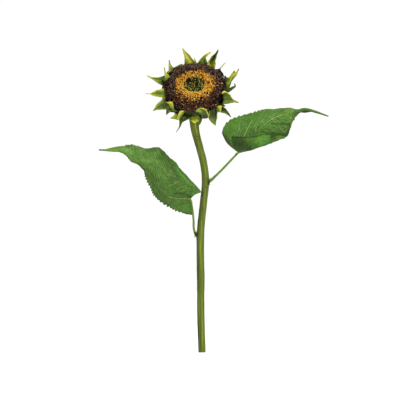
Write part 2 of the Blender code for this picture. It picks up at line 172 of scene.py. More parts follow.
UPPER_BRACTS = (
    Bract(98, 20, (
        ((-20.5, 44, -7), (-9.5, 44, -8), (2, 46, -6)),
        ((-20, 52, 2), (-10, 54.5, -1), (-2.5, 54, 2)),
        ((-21, 63, 8), (-16, 64, 5), (-10.5, 64, 8)),
    ), (-24.5, 78.5, 14), root=0.6, tip=0.8, core=0.3, left=-0.15, right=-0.3, burn=0.2),
    Bract(77, 18, (
        ((4.5, 44, -6), (15.5, 44, -8), (27.5, 45, -6)),
        ((7, 50.5, 0), (15.5, 52, -3), (25, 52, 0)),
        ((14.5, 60, 5), (20, 60.5, 3), (23, 58, 6)),
        ((24, 67, 9), (25, 65.5, 8), (26.5, 63, 9)),
        ((29, 70, 11), (30, 69, 11), (31, 67, 11)),
    ), (33, 70, 12), tip=0.95, left=0.35, right=0.15, burn=0.35, point=1.8),
    Bract(47, 4, (
        ((43, 35.5, -8), (51, 28.5, -10), (60.5, 19.5, -8)),
        ((46.5, 36.5, -5), (51.5, 32, -7), (57.5, 26.5, -5)),
        ((50, 37.5, -1), (51, 36.8, -1), (52.2, 35.8, -1)),
        ((55.5, 43, 4), (56, 42, 4), (56.5, 41.5, 4)),
        ((59, 47.5, 7), (60, 47, 7), (60.5, 46, 7)),
    ), (63, 49, 8), root=0.1, tip=1, burn=0.15, point=1.4),
    Bract(14, 28, (
        ((61, 23, -6), (62, 7.5, -8), (62.5, -9.5, -6)),
        ((68, 19, 0), (70, 9, -4), (69.5, -3, 1)),
        ((79, 33, 8), (77, 22, 2), (74, 9.5, 7)),
        ((82, 29.5, 9), (84, 28, 7), (83.5, 22.5, 9)),
        ((85.5, 34, 9), (86.5, 33, 8), (87.5, 30.5, 9)),
    ), (89, 36, 8), root=0.42, tip=0.8, core=0.45, left=0.15, right=-0.05, burn=1.2, point=2.4),
    Bract(-26, 26, (
        ((55, -12, 12), (58, -20.5, 4), (56.5, -35, -4)),
        ((60.5, -8, 14), (65, -19.5, 6), (65.5, -34, -1)),
        ((67.5, -13, 13), (72, -22, 7), (74, -32.5, 3)),
        ((77, -24, 10), (78.5, -27.5, 7), (80, -32, 6)),
    ), (88, -31.5, 4), root=0.25, tip=0.6, core=0.02, left=0.85, right=0.15, burn=1, point=1.5),
    Bract(-47, 9, (
        ((53.5, -48.5, -4), (51, -51, -8), (49, -48.5, -8)),
        ((54, -43, 4), (51.5, -44, 4), (48, -42.5, 2)),
        ((55, -38.5, 10), (50, -40, 10), (45.5, -39, 9)),
    ), (50, -38, 12), root=0.9, tip=1, left=-0.15, right=0, burn=0.1),
    Bract(-66, 18, (
        ((29, -61, -6), (23, -63, -9), (16, -63, -9)),
        ((27.5, -53.5, 3), (22.5, -57.5, 1), (15.5, -61.5, -1)),
        ((22, -45, 8), (19, -50, 6), (12, -56, 3)),
        ((12, -42, 10), (11, -46, 9), (7.5, -51.5, 6)),
    ), (1.5, -49, 7), root=0.18, tip=0.62, core=-0.1, left=0.85, right=-0.15, burn=0, point=1.4),
    Bract(-111, 7, (
        ((-30.5, -64, -8), (-32, -64.5, -9), (-34.5, -63, -8)),
        ((-29, -57.5, 0), (-30.5, -58, 0), (-32.5, -55.5, -1)),
        ((-25.5, -51.5, 6), (-27, -50.5, 6), (-29, -48.5, 5)),
    ), (-20.5, -48.5, 6), root=0.9, tip=1.05, core=0.15, left=0.05, burn=0),
    Bract(-123, 14, (
        ((-38, -49.5, -8), (-41, -50, -10), (-44.5, -48, -8)),
        ((-42, -40.5, 2), (-45, -42, 0), (-49, -40, 0)),
        ((-44.5, -30.5, 10), (-48, -33, 8), (-52.5, -34, 6)),
    ), (-58, -31, 10), root=0.2, tip=0.9, left=0.3, burn=0.6),
    Bract(-146, 26, (
        ((-48, -43.5, -8), (-54.5, -32.5, -8), (-59.5, -21.5, -6)),
        ((-59.5, -45.5, -8), (-63.5, -37.5, -9), (-67, -27, -4)),
        ((-71, -46, -8), (-74, -42, -9), (-75.5, -35, -5)),
    ), (-83, -48, -6), root=0.2, tip=0.6, core=-0.2, left=0.15, right=0.25, burn=0.15),
    Bract(151, 12, (
        ((-59, 12, 8), (-54, 16, 11), (-49.5, 19, 12.5)),
        ((-59.5, 21, 9), (-55.5, 23.5, 11), (-52.5, 25, 13)),
        ((-60.5, 28.5, 12), (-59, 29, 12), (-57, 30, 13)),
    ), (-60.5, 39, 15), root=0.55, tip=0.75, core=0.15, left=0, right=0.2, burn=0.35, point=2),
    Bract(136, 18, (
        ((-52.5, 27.5, 6), (-46, 31.5, 4), (-39, 36, 2)),
        ((-52, 36, 8), (-48, 37.5, 7), (-42, 39, 7)),
        ((-52, 45.5, 10), (-50, 46, 9), (-47, 45, 10)),
    ), (-50.5, 54, 12), root=0.4, tip=0.75, left=0.3, right=0.05, burn=0.9, point=1.8),
)
LOWER_BRACTS = (
    Bract(119, 18, (
        ((-43, 32.5, 0), (-32, 38, 0), (-20, 42, 2)),
        ((-42.5, 36, 8), (-32.5, 40.5, 8), (-22, 43, 8)),
        ((-41, 39.5, 12), (-33, 42.5, 12), (-24, 44.5, 11)),
    ), (-26, 46, 14), tip=0.5, core=0.2, left=-0.25, burn=0, point=4),
    Bract(88, 7, (
        ((-3, 46, -8), (0.5, 46.5, -9), (4.5, 46.5, -8)),
        ((-1.5, 52, -3), (1, 52, -4), (3.5, 51.5, -3)),
    ), (0, 58.5, 0), root=0.9, tip=1, burn=0),
    Bract(61, 18, (
        ((24.5, 44, -7), (33, 40.5, -8), (40.5, 36, -6)),
        ((27, 50, 0), (33, 48, -5), (42, 41, 2)),
        ((32, 59, 6), (38, 58, 1), (42.5, 52, 8)),
        ((40, 67, 10), (42.5, 65, 6), (45, 63, 11)),
    ), (47.5, 74.5, 14), root=0.8, tip=0.2, core=-0.45, left=0.35, right=0.4, burn=1, point=2.4),
    Bract(-9, 18, (
        ((63, -5, -8), (63, -9.5, -10), (63.5, -14, -9)),
        ((69, -2.5, -2), (70, -5.5, -4), (70, -9.5, -2)),
        ((76, 1, 4), (77, -1, 3), (77.5, -4, 4)),
        ((80, 2, 8), (81, 1, 8), (82.5, 0, 8)),
        ((79, 5, 12), (80.5, 5, 12), (82, 4, 12)),
    ), (79.5, 7, 14), root=0.45, tip=0.35, core=0, right=0.15, burn=0.5, point=1.4),
    Bract(-43, 17, (
        ((56, -39, -2), (55.5, -45, -6), (53, -51.5, -6)),
        ((62, -43.5, 0), (61.5, -48.5, -5), (59.5, -53, -5)),
        ((68, -50.5, -2), (67, -53.5, -6), (65.5, -56, -7)),
    ), (73, -61, -12), root=0.2, tip=0.3, core=-0.05, left=0.15, right=0.15, point=1.2),
    Bract(-59, 22, (
        ((46, -39, -2), (39.5, -42.5, -6), (33, -48, -8)),
        ((46.5, -50.5, -6), (39, -55, -12), (28.5, -61, -10)),
        ((45, -62.5, -13), (40.5, -66.5, -18), (33, -70, -16)),
    ), (42, -77.5, -26), root=0.04, tip=0.42, core=-0.05, left=0.35, burn=0.05),
    Bract(-103, 22, (
        ((-8, -60.5, -22), (-17, -59.5, -26), (-28, -57, -22)),
        ((-12, -65.5, -26), (-21, -66.5, -30), (-31, -62.5, -26)),
        ((-23.5, -71, -31), (-27, -70.5, -33), (-30.5, -70, -31)),
        ((-28.5, -80.5, -36), (-29.5, -80, -37), (-31, -79.5, -36)),
    ), (-37, -90.5, -38), tip=0.4, core=0, right=0.25, burn=0.5),
    Bract(-121, 13, (
        ((-31, -65, -14), (-34.5, -59.5, -16), (-39, -50.5, -14)),
        ((-37.5, -65.5, -14), (-39.5, -61.5, -16), (-42, -58, -13)),
    ), (-48.5, -62.5, -14), root=0.45, tip=0.65, right=0.15, burn=0.9),
    Bract(-135, 12, (
        ((-43.5, -48, -14), (-49, -46, -16), (-55.5, -44, -14)),
        ((-50, -51.5, -17), (-53.5, -50, -18), (-56.5, -48, -17)),
    ), (-56.5, -56, -20), root=0.35, tip=0.35),
    Bract(-168, 24, (
        ((-58, -24, -7), (-56.5, -14, -5), (-57, -3, 0)),
        ((-73.5, -20, -4), (-72.5, -13.5, -6), (-71.5, -5.5, 1)),
        ((-83, -18, -2), (-83, -14, -4), (-81.5, -9, 0)),
        ((-89, -15, 0), (-89, -14, 0), (-89, -13, 0)),
    ), (-98, -13, 2), root=0.6, tip=0.85, core=-0.25, left=0.05, right=0.3, burn=0.6, point=1.2),
    Bract(162, 26, (
        ((-61.5, 0.5, -6), (-61, 12, -8), (-57.5, 22.5, -6)),
        ((-73.5, 8, -3), (-72.5, 13.5, -6), (-71.5, 19.5, -1)),
        ((-85, 15, 1), (-84.5, 17, -2), (-84, 19, 1)),
        ((-91, 18.5, 4), (-90.5, 20, 3), (-90, 22, 4)),
    ), (-95, 22.5, 6), root=0.35, tip=1, core=0.05, right=0.15, burn=0.4, point=1.6),
)
BACK_BRACTS = (
    Bract(-94, 18, (
        ((9, -57, -31), (0, -56, -34), (-8.5, -58, -32)),
        ((10, -64, -34), (0, -65.5, -36), (-9, -65.5, -35)),
        ((7, -69, -36), (0, -70, -37), (-6.5, -69, -36)),
    ), (0, -72, -37), root=0.5, tip=0.85, left=-0.1, right=-0.1, burn=0, point=3),
    Bract(-72, 10, (
        ((16, -61.5, -36), (12, -62.5, -38), (8.5, -62.5, -36)),
        ((14, -69.5, -38), (11.5, -70, -39), (9, -69.5, -38)),
    ), (9.5, -76.5, -39), root=0.5, tip=0.5, burn=0.1),
)
HIDDEN_BRACTS = 10
HIDDEN_FROM = -46
HIDDEN_TO = 215
HIDDEN_SWING = 3
HIDDEN_WIDTH = 16
HIDDEN_ROWS = ((12, 52, 0), (6, 58, 1))  # degrees to either side, radius, and height over the root
HIDDEN_TIP = (66, 3)
HIDDEN_SEED = 7


# ---- geometry helpers ----


def curve_weights(count, shares):
    """The share that each of a smooth curve's points has in each place along it (Catmull-Rom)."""
    spans = count - 1
    span = np.minimum((shares * spans).astype(int), spans - 1)
    t = shares * spans - span
    parts = (-t + 2 * t**2 - t**3, 2 - 5 * t**2 + 3 * t**3, t + 4 * t**2 - 3 * t**3, -(t**2) + t**3)
    weights = np.zeros((len(shares), count))
    for k, part in enumerate(parts):
        np.add.at(weights, (np.arange(len(shares)), np.clip(span + k - 1, 0, spans)), part / 2)
    return weights


def smooth_step(low, high, values):
    t = np.clip((values - low) / (high - low), 0, 1)
    return t * t * (3 - 2 * t)


def hump(values, width, centre=0):
    """1 at the centre, falling off softly over a width on both sides."""
    return np.exp(-(((values - centre) / width) ** 2))


def spread(guides, along, across):
    """A smooth grid of points through rows of guides, at shares along and across them."""
    weights = curve_weights(len(guides), along), curve_weights(guides.shape[1], across)
    return np.einsum("mk,nj,kjc->mnc", *weights, guides)


def lengths_along(points):
    """How far along a line each of its points is."""
    return np.concatenate([[0], np.cumsum(np.linalg.norm(np.diff(points, axis=0), axis=1))])


def evenly(points, step, axes):
    """Points an even distance apart along a line, as measured over its first axes."""
    lengths = lengths_along(points[:, :axes])
    places = np.linspace(0, lengths[-1], int(lengths[-1] / step) + 1)
    return np.stack([np.interp(places, lengths, column) for column in points.T], axis=1)


def unit(vectors):
    return vectors / np.maximum(np.linalg.norm(vectors, axis=-1, keepdims=True), 1e-9)


def normals(grid):
    return unit(np.cross(np.gradient(grid, axis=1), np.gradient(grid, axis=0)))


def ripple(points, size, seed):
    """Smooth noise from -1 to 1 at each point, with features of a size in millimetres."""
    flat = np.reshape(points, (-1, 3)) / size + seed * 7.31
    values = [noise.noise(Vector(place)) for place in flat]
    return np.reshape(values, np.shape(points)[:-1])


def head_place(points):
    """From places on the head (right, up the face, out of the face) to the plant's frame."""
    points = np.asarray(points, dtype=float)
    return points[..., :1] * (1, 0, 0) + points[..., 1:2] * FACE_UP + points[..., 2:] * FACE_OUT + HEAD_CENTRE


def add_piece(name, vertices, faces, materials, slot, replaced=(), attributes=None, indices=None, smooth=True):
    """A mesh piece that rides on the plant, stands for its CAD nodes and carries point values."""
    mesh = bpy.data.meshes.new(name)
    mesh.from_pydata((np.asarray(vertices) * MM).tolist(), [], faces)
    for material in materials:
        mesh.materials.append(material)
    if indices is not None:
        mesh.polygons.foreach_set("material_index", indices)
    mesh.polygons.foreach_set("use_smooth", [smooth] * len(mesh.polygons))
    for label, values in (attributes or {}).items():
        layer = mesh.attributes.new(label, "FLOAT", "POINT")
        layer.data.foreach_set("value", np.asarray(values, dtype=np.float32).ravel())
    mesh.update()
    piece = bpy.data.objects.new(name, mesh)
    bpy.context.scene.collection.objects.link(piece)
    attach(piece, BODY)
    if replaced:
        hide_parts(*replaced)
    return piece


def shell(name, middle, thickness, materials, slot, replaced, front_values, back_values):
    """A closed thin blade round a grid of middle points, its two sides with their own point values."""
    rows, columns = middle.shape[:2]
    half = normals(middle) * thickness[..., None] / 2
    number = np.arange(rows * columns).reshape(rows, columns)
    corners = [number[:-1, :-1], number[:-1, 1:], number[1:, 1:], number[1:, :-1]]
    quads = np.stack([c.ravel() for c in corners], axis=1)
    total = rows * columns
    border = np.concatenate([number[0, :-1], number[:-1, -1], number[-1, :0:-1], number[:0:-1, 0]])
    following = np.roll(border, -1)
    rim = np.stack([following, border, border + total, following + total], axis=1)
    faces = np.concatenate([quads, quads[:, ::-1] + total, rim]).tolist()
    indices = [0] * len(quads) + [len(materials) - 1] * len(quads) + [0] * len(rim)
    values = {k: np.concatenate([front_values[k].ravel(), back_values[k].ravel()]) for k in front_values}
    vertices = np.concatenate([(middle + half).reshape(-1, 3), (middle - half).reshape(-1, 3)])
    return add_piece(name, vertices, faces, materials, slot, replaced, values, indices)


# ---- materials. Colours are as seen, red, green and blue to 255, each at its place from dark to light ----

BLACK, WHITE = (0, 0, 0), (255, 255, 255)
STEM_GREENS = (
    (0, (48, 56, 18)), (0.3, (83, 98, 24)), (0.55, (108, 125, 34)), (0.8, (146, 156, 54)), (1, (186, 188, 88)),
)
STALK_GREENS = ((0, (74, 96, 34)), (0.4, (104, 132, 46)), (0.7, (124, 154, 54)), (1, (160, 180, 84)))
CUP_GREENS = ((0, (44, 54, 24)), (0.35, (70, 88, 36)), (0.6, (104, 122, 48)), (1, (150, 158, 70)))
LEAF_GREENS = (
    (0, (22, 36, 14)), (0.15, (38, 64, 20)), (0.35, (58, 98, 28)), (0.6, (84, 132, 38)), (0.9, (124, 166, 66)),
)
TOP_VEINS = ((0.4, (148, 190, 92)), (0.95, (178, 210, 134)))
UNDER_VEINS = ((0.5, (134, 172, 80)), (0.95, (150, 186, 104)))
BRACT_GREENS = (
    (0, (36, 42, 18)), (0.25, (66, 84, 30)), (0.5, (108, 132, 42)), (0.75, (170, 176, 50)), (1, (214, 204, 72)),
)
BURNT = (92, 56, 30)
SCALE_BROWN = (52, 50, 26)
BED_BROWN = (26, 20, 15)


class Finish:
    """A Principled material whose colour and relief come from nodes."""

    def __init__(self, name, roughness, specular):
        self.material = bpy.data.materials.new(name)
        self.material.use_nodes = True
        self.tree = self.material.node_tree
        self.surface = self.tree.nodes["Principled BSDF"]
        self.surface.inputs["Roughness"].default_value = roughness
        self.surface.inputs["Specular IOR Level"].default_value = specular

    def node(self, kind, inputs=None, **settings):
        made = self.tree.nodes.new("ShaderNode" + kind)
        for label, value in settings.items():
            setattr(made, label, value)
        for label, value in (inputs or {}).items():
            if isinstance(value, bpy.types.NodeSocket):
                self.tree.links.new(value, made.inputs[label])
            else:
                made.inputs[label].default_value = value
        return made

    def value(self, attribute):
        return self.node("Attribute", attribute_name=attribute).outputs["Fac"]

    def noise(self, scale, detail=3, stretch=(1, 1, 1)):
        place = self.node("TexCoord").outputs["Object"]
        if stretch != (1, 1, 1):
            place = self.node("Mapping", {"Vector": place, "Scale": stretch}).outputs["Vector"]
        return self.node("TexNoise", {"Vector": place, "Scale": scale, "Detail": detail}).outputs["Fac"]

    def cracks(self, scale):
        """Lines between the cells of a Voronoi pattern, 1 on a line and 0 off it."""
        place = self.node("TexCoord").outputs["Object"]
        warp = self.node("TexNoise", {"Vector": place, "Scale": scale * 0.7}).outputs["Color"]
        place = self.node(
            "VectorMath", {0: warp, 1: (0.004, 0.004, 0.004), 2: place}, operation="MULTIPLY_ADD"
        ).outputs[0]
        cells = self.node("TexVoronoi", {"Vector": place, "Scale": scale}, feature="DISTANCE_TO_EDGE")
        return self.ramp(cells.outputs["Distance"], ((0, WHITE), (0.18, BLACK)), 1)

    def maths(self, operation, *values):
        return self.node("Math", dict(enumerate(values)), operation=operation).outputs[0]

    def sum(self, first, second, factor):
        """first + factor x (second - 0.5)"""
        return self.maths("MULTIPLY_ADD", self.maths("SUBTRACT", second, 0.5), factor, first)

    def ramp(self, factor, stops, level=None):
        made = self.node("ValToRGB", {"Fac": factor})
        elements = made.color_ramp.elements
        while len(elements) < len(stops):
            elements.new(0.5)
        for element, (place, colour) in zip(elements, stops):
            element.position = place
            element.color = (*linear(colour, level or LIGHT_LEVEL), 1)
        return made.outputs["Color"]

    def mix(self, factor, first, second):
        inputs = {0: factor, 6: first, 7: second}
        inputs = {k: (*linear(v), 1) if isinstance(v, tuple) else v for k, v in inputs.items()}
        return self.node("Mix", inputs, data_type="RGBA").outputs[2]

    def colour(self, socket):
        self.tree.links.new(socket, self.surface.inputs["Base Color"])

    def bump(self, height, strength, distance):
        made = self.node("Bump", {"Height": height, "Strength": strength, "Distance": distance * MM})
        self.tree.links.new(made.outputs["Normal"], self.surface.inputs["Normal"])


def linear(colour, level=LIGHT_LEVEL):
    """A colour as seen, as the linear colour of the surface."""
    channels = [c / 255 for c in colour]
    bright = [c / 12.92 if c <= 0.04045 else ((c + 0.055) / 1.055) ** 2.4 for c in channels]
    return tuple(c / level for c in bright)


def leaf_finish(name, vein_stops, vein_share):
    finish = Finish(name, 0.6, 0.08)
    tone = finish.sum(finish.value("tone"), finish.noise(110, 4), 0.5)
    tone = finish.sum(tone, finish.noise(260, 3), 0.6)
    cooler = tuple((place, (red * 0.9, green, blue * 1.2)) for place, (red, green, blue) in LEAF_GREENS)
    hue = finish.ramp(finish.noise(55, 3), ((0.42, BLACK), (0.62, WHITE)), 1)
    blade = finish.mix(hue, finish.ramp(tone, LEAF_GREENS), finish.ramp(tone, cooler))
    net = finish.maths("MULTIPLY", finish.maths("MAXIMUM", finish.cracks(240), finish.cracks(520)), 0.25)
    veins = finish.maths("MAXIMUM", finish.value("vein"), net)
    finish.colour(finish.mix(finish.maths("MULTIPLY", veins, vein_share), blade, finish.ramp(veins, vein_stops)))
    finish.bump(net, 0.5, 0.4)
    return finish.material


def bract_finish(name, level):
    finish = Finish(name, 0.55, 0.15)
    green = finish.ramp(finish.sum(finish.value("ripe_and_shade"), finish.noise(160, 4), 0.35), BRACT_GREENS, level)
    finish.colour(finish.mix(finish.value("burn"), green, BURNT))
    finish.bump(finish.noise(900, 4), 0.4, 0.25)
    return finish.material


def stem_finish(name, stops):
    finish = Finish(name, 0.55, 0.15)
    tone = finish.sum(finish.value("tone"), finish.noise(170, 3, (1, 1, 0.05)), 0.7)
    tone = finish.sum(tone, finish.noise(520, 3, (1, 1, 0.03)), 0.9)
    tone = finish.sum(tone, finish.noise(240, 4), 0.25)
    finish.colour(finish.ramp(tone, stops))
    finish.bump(finish.noise(800, 4, (1, 1, 0.3)), 0.4, 0.3)
    return finish.material


def plain_finish(name, colour, roughness=0.8, specular=0.05):
    """A plain base colour, for small things that are dealt their colours one by one."""
    finish = Finish(name, roughness, specular)
    finish.surface.inputs["Base Color"].default_value = (*linear(colour), 1)
    return finish.material


# ---- stem and stalks ----


def stem_place(height):
    """The stem's axis at a height: sideways, backwards and up."""
    heights, sideways, backwards, _ = zip(*STEM_PATH)
    return np.array((np.interp(height, heights, sideways), np.interp(height, heights, backwards), height))


def tube_course(path, first, last, step):
    """Places an even step apart and their radii, along a Bezier curve with automatic handles.

    It goes through (x, y, z, radius) points. first and last are its direction and handle length at its ends.
    """
    path = np.array(path, dtype=float)
    places, radii = path[:, :3], path[:, 3]
    before, after = places.copy(), places.copy()
    for k in range(1, len(places) - 1):
        back, ahead = places[k] - places[k - 1], places[k + 1] - places[k]
        tangent = back / np.linalg.norm(back) + ahead / np.linalg.norm(ahead)
        size = np.linalg.norm(tangent) * HANDLE_SHARE
        before[k] = places[k] - tangent * np.linalg.norm(back) / size
        after[k] = places[k] + tangent * np.linalg.norm(ahead) / size
    after[0] = places[0] + np.array(first[0]) * first[1]
    before[-1] = places[-1] - np.array(last[0]) * last[1]
    parts = []
    for k in range(len(places) - 1):
        t = np.linspace(0, 1, CURVE_STEPS, endpoint=k == len(places) - 2)[:, None]
        course = (
            places[k] * (1 - t) ** 3 + 3 * after[k] * t * (1 - t) ** 2
            + 3 * before[k + 1] * t**2 * (1 - t) + places[k + 1] * t**3
        )
        parts.append(np.concatenate([course, radii[k] * (1 - t) + radii[k + 1] * t], axis=1))
    even = evenly(np.concatenate(parts), step, 3)
    return even[:, :3], even[:, 3]


def ringed_piece(name, body, ends, tones, finish, slot, replaced):
    """A closed piece from rings of points and the middle point of each end."""
    rings, sides = body.shape[:2]
    number = np.arange(rings * sides).reshape(rings, sides)
    after = np.roll(number, -1, axis=1)
    faces = np.stack([number[:-1], after[:-1], after[1:], number[1:]], axis=-1).reshape(-1, 4).tolist()
    foot, head = rings * sides, rings * sides + 1
    faces += [(a, b, foot) for a, b in zip(after[0].tolist(), number[0].tolist())]
    faces += [(a, b, head) for a, b in zip(number[-1].tolist(), after[-1].tolist())]
    vertices = np.concatenate([body.reshape(-1, 3), ends])
    tones = np.concatenate([tones.ravel(), [0.5, 0.5]])
    add_piece(name, vertices, faces, [finish], slot, replaced, {"tone": tones})


def tube_piece(name, course, sizes, sides, relief, tone, finish, slot, replaced):
    """Rings round a course. relief gives their outward swell and tone their shade, point by point."""
    tangents = unit(np.gradient(course, axis=0))
    side = np.tile(np.array((1.0, 0, 0)), (len(course), 1))
    side = unit(side - tangents * np.sum(side * tangents, axis=1, keepdims=True))
    front = np.cross(tangents, side)
    angles = np.linspace(0, 2 * math.pi, sides, endpoint=False)
    outward = side[:, None] * np.cos(angles)[None, :, None] + front[:, None] * np.sin(angles)[None, :, None]
    rest = course[:, None] + outward * sizes[:, None, None]
    body = rest + outward * relief(rest, angles)[..., None]
    ringed_piece(name, body, (body[0].mean(axis=0), body[-1].mean(axis=0)), tone(body), finish, slot, replaced)


def stem():
    top = HEAD_CENTRE + FACE_OUT * (CUP_BACK - JOINT_GAP)
    path = [(x, y, z, radius) for z, x, y, radius in STEM_PATH] + [(*top, NECK_RADIUS)]
    course, sizes = tube_course(path, (UP, STEM_FOOT_HANDLE), (FACE_OUT, STEM_TOP_HANDLE), STEM_MESH[1])
    stubs = [stem_place(height) + (way * 8, 0, 0) for way, height in STUBS]

    def relief(rest, angles):
        wander = ripple(course, 90, 3)[:, None] * 0.5
        swell = 0.28 * np.cos((angles[None, :] + wander) * STEM_RIBS)
        swell = swell + 0.35 * ripple(rest * (1, 1, 0.25), 7, 5) + 0.12 * ripple(rest, 2.6, 6)
        for stub in stubs:
            swell = swell + 1.9 * hump(np.linalg.norm((rest - stub) / (1, 1, 1.5), axis=-1), 4.2)
        foot = np.clip(course[:, 2] / 3, 0, 1)[:, None]
        return swell * foot

    # painted light: lighter to the right, down a band on the front and over the neck against the head's shadow, with
    # a highlight stripe down the front of the neck; painted shade darkens the left edge
    def tone(body):
        from_axis = body - course[:, None, :]
        across = from_axis[..., 0] / sizes[:, None]
        rise = smooth_step(150, 520, body[..., 2])
        neck = smooth_step(428, 446, body[..., 2])
        neck_highlight = hump(across, 0.13, 0.25) * neck * (from_axis[..., 1] < 0)
        front_highlight = 0.16 * hump(across, 0.3, 0.2) * (1 - neck)
        edge = -0.22 * smooth_step(0.72, 1, -across)
        rings = sum(hump(np.linalg.norm(body - stub, axis=-1), 1.6, 4.2) for stub in stubs)
        return 0.32 + 0.1 * across + 0.1 * rise + 0.18 * neck + 0.6 * neck_highlight + front_highlight + edge - 0.45 * rings

    finish = stem_finish("stem_green", STEM_GREENS)
    tube_piece("stem_skin", course, sizes, STEM_MESH[0], relief, tone, finish, "stem", ("stem",))


def stalk(name, stub, path, leaf, finish):
    way, height = stub
    start = stem_place(height) + (way * (STUB_REACH + JOINT_GAP - STUB_OVERLAP), 0, 0)
    base, ahead = (np.array(row[2], dtype=float) for row in leaf[:2])
    heading = unit(ahead - base)
    end = base + heading * 1.5
    foot = start + (way * STALK_FOOT_REACH, 0, STALK_FOOT_RISE)
    points = [(*start, STALK_FOOT_RADIUS), (*foot, STALK_FOOT_RADIUS * 1.4), *path, (*end, STALK_TOP_RADIUS)]
    points = [(*point[:3], point[3] * STALK_SWELL) for point in points]
    course, sizes = tube_course(points, ((way, 0, 0), 2.5), (heading, 6), STALK_MESH[1])

    def relief(rest, angles):
        groove = 0.35 * hump(angles, 0.5, math.pi * 1.5)
        return 0.22 * ripple(rest * (1, 1, 0.3), 4, 9) - groove[None, :]

    def tone(body):
        foot = hump(np.linalg.norm(body - start, axis=-1), 5)
        height = body[..., 2]
        return 0.5 + 0.25 * (height - height.mean()) / np.ptp(height) - 0.6 * foot

    tube_piece(name + "_skin", course, sizes, STALK_MESH[0], relief, tone, finish, "stalk", (name,))


def stalks():
    finish = stem_finish("stalk_green", STALK_GREENS)
    stalk("left_stalk", STUBS[0], LEFT_STALK, LEFT_LEAF, finish)
    stalk("right_stalk", STUBS[1], RIGHT_STALK, RIGHT_LEAF, finish)


SCARS = (  # place, heading and length of the dry scales at the foot of each stalk
    ((-12.5, -3.5, 233.5), (-0.7, -0.5, -0.5), 5), ((-11.5, -2, 236.5), (-0.9, -0.3, -0.2), 5.5),
    ((-13.5, -3, 239), (-0.8, -0.6, 0.4), 4), ((13.2, -2, 338), (0.8, -0.5, -0.6), 4.5),
    ((13, -3.5, 341), (0.9, -0.5, -0.1), 4.5), ((68.5, -12.5, 396), (-0.4, -0.6, 0.5), 6),
)


def scars():
    parts = [spike(place, unit(heading), (0, 0, -0.3), length, 3, 3, 6) for place, heading, length in SCARS]
    add_piece("stalk_scales", *joined(parts), [plain_finish("scale_dark", SCALE_BROWN)], "stalk")


# ---- leaves ----

# A margin: how far apart its teeth are, how deep from base to tip, between which shares along the blade, how
# much painted shade darkens its rim and how far out it is from the even curve
Edge = namedtuple("Edge", "spacing depth first last dark shape")
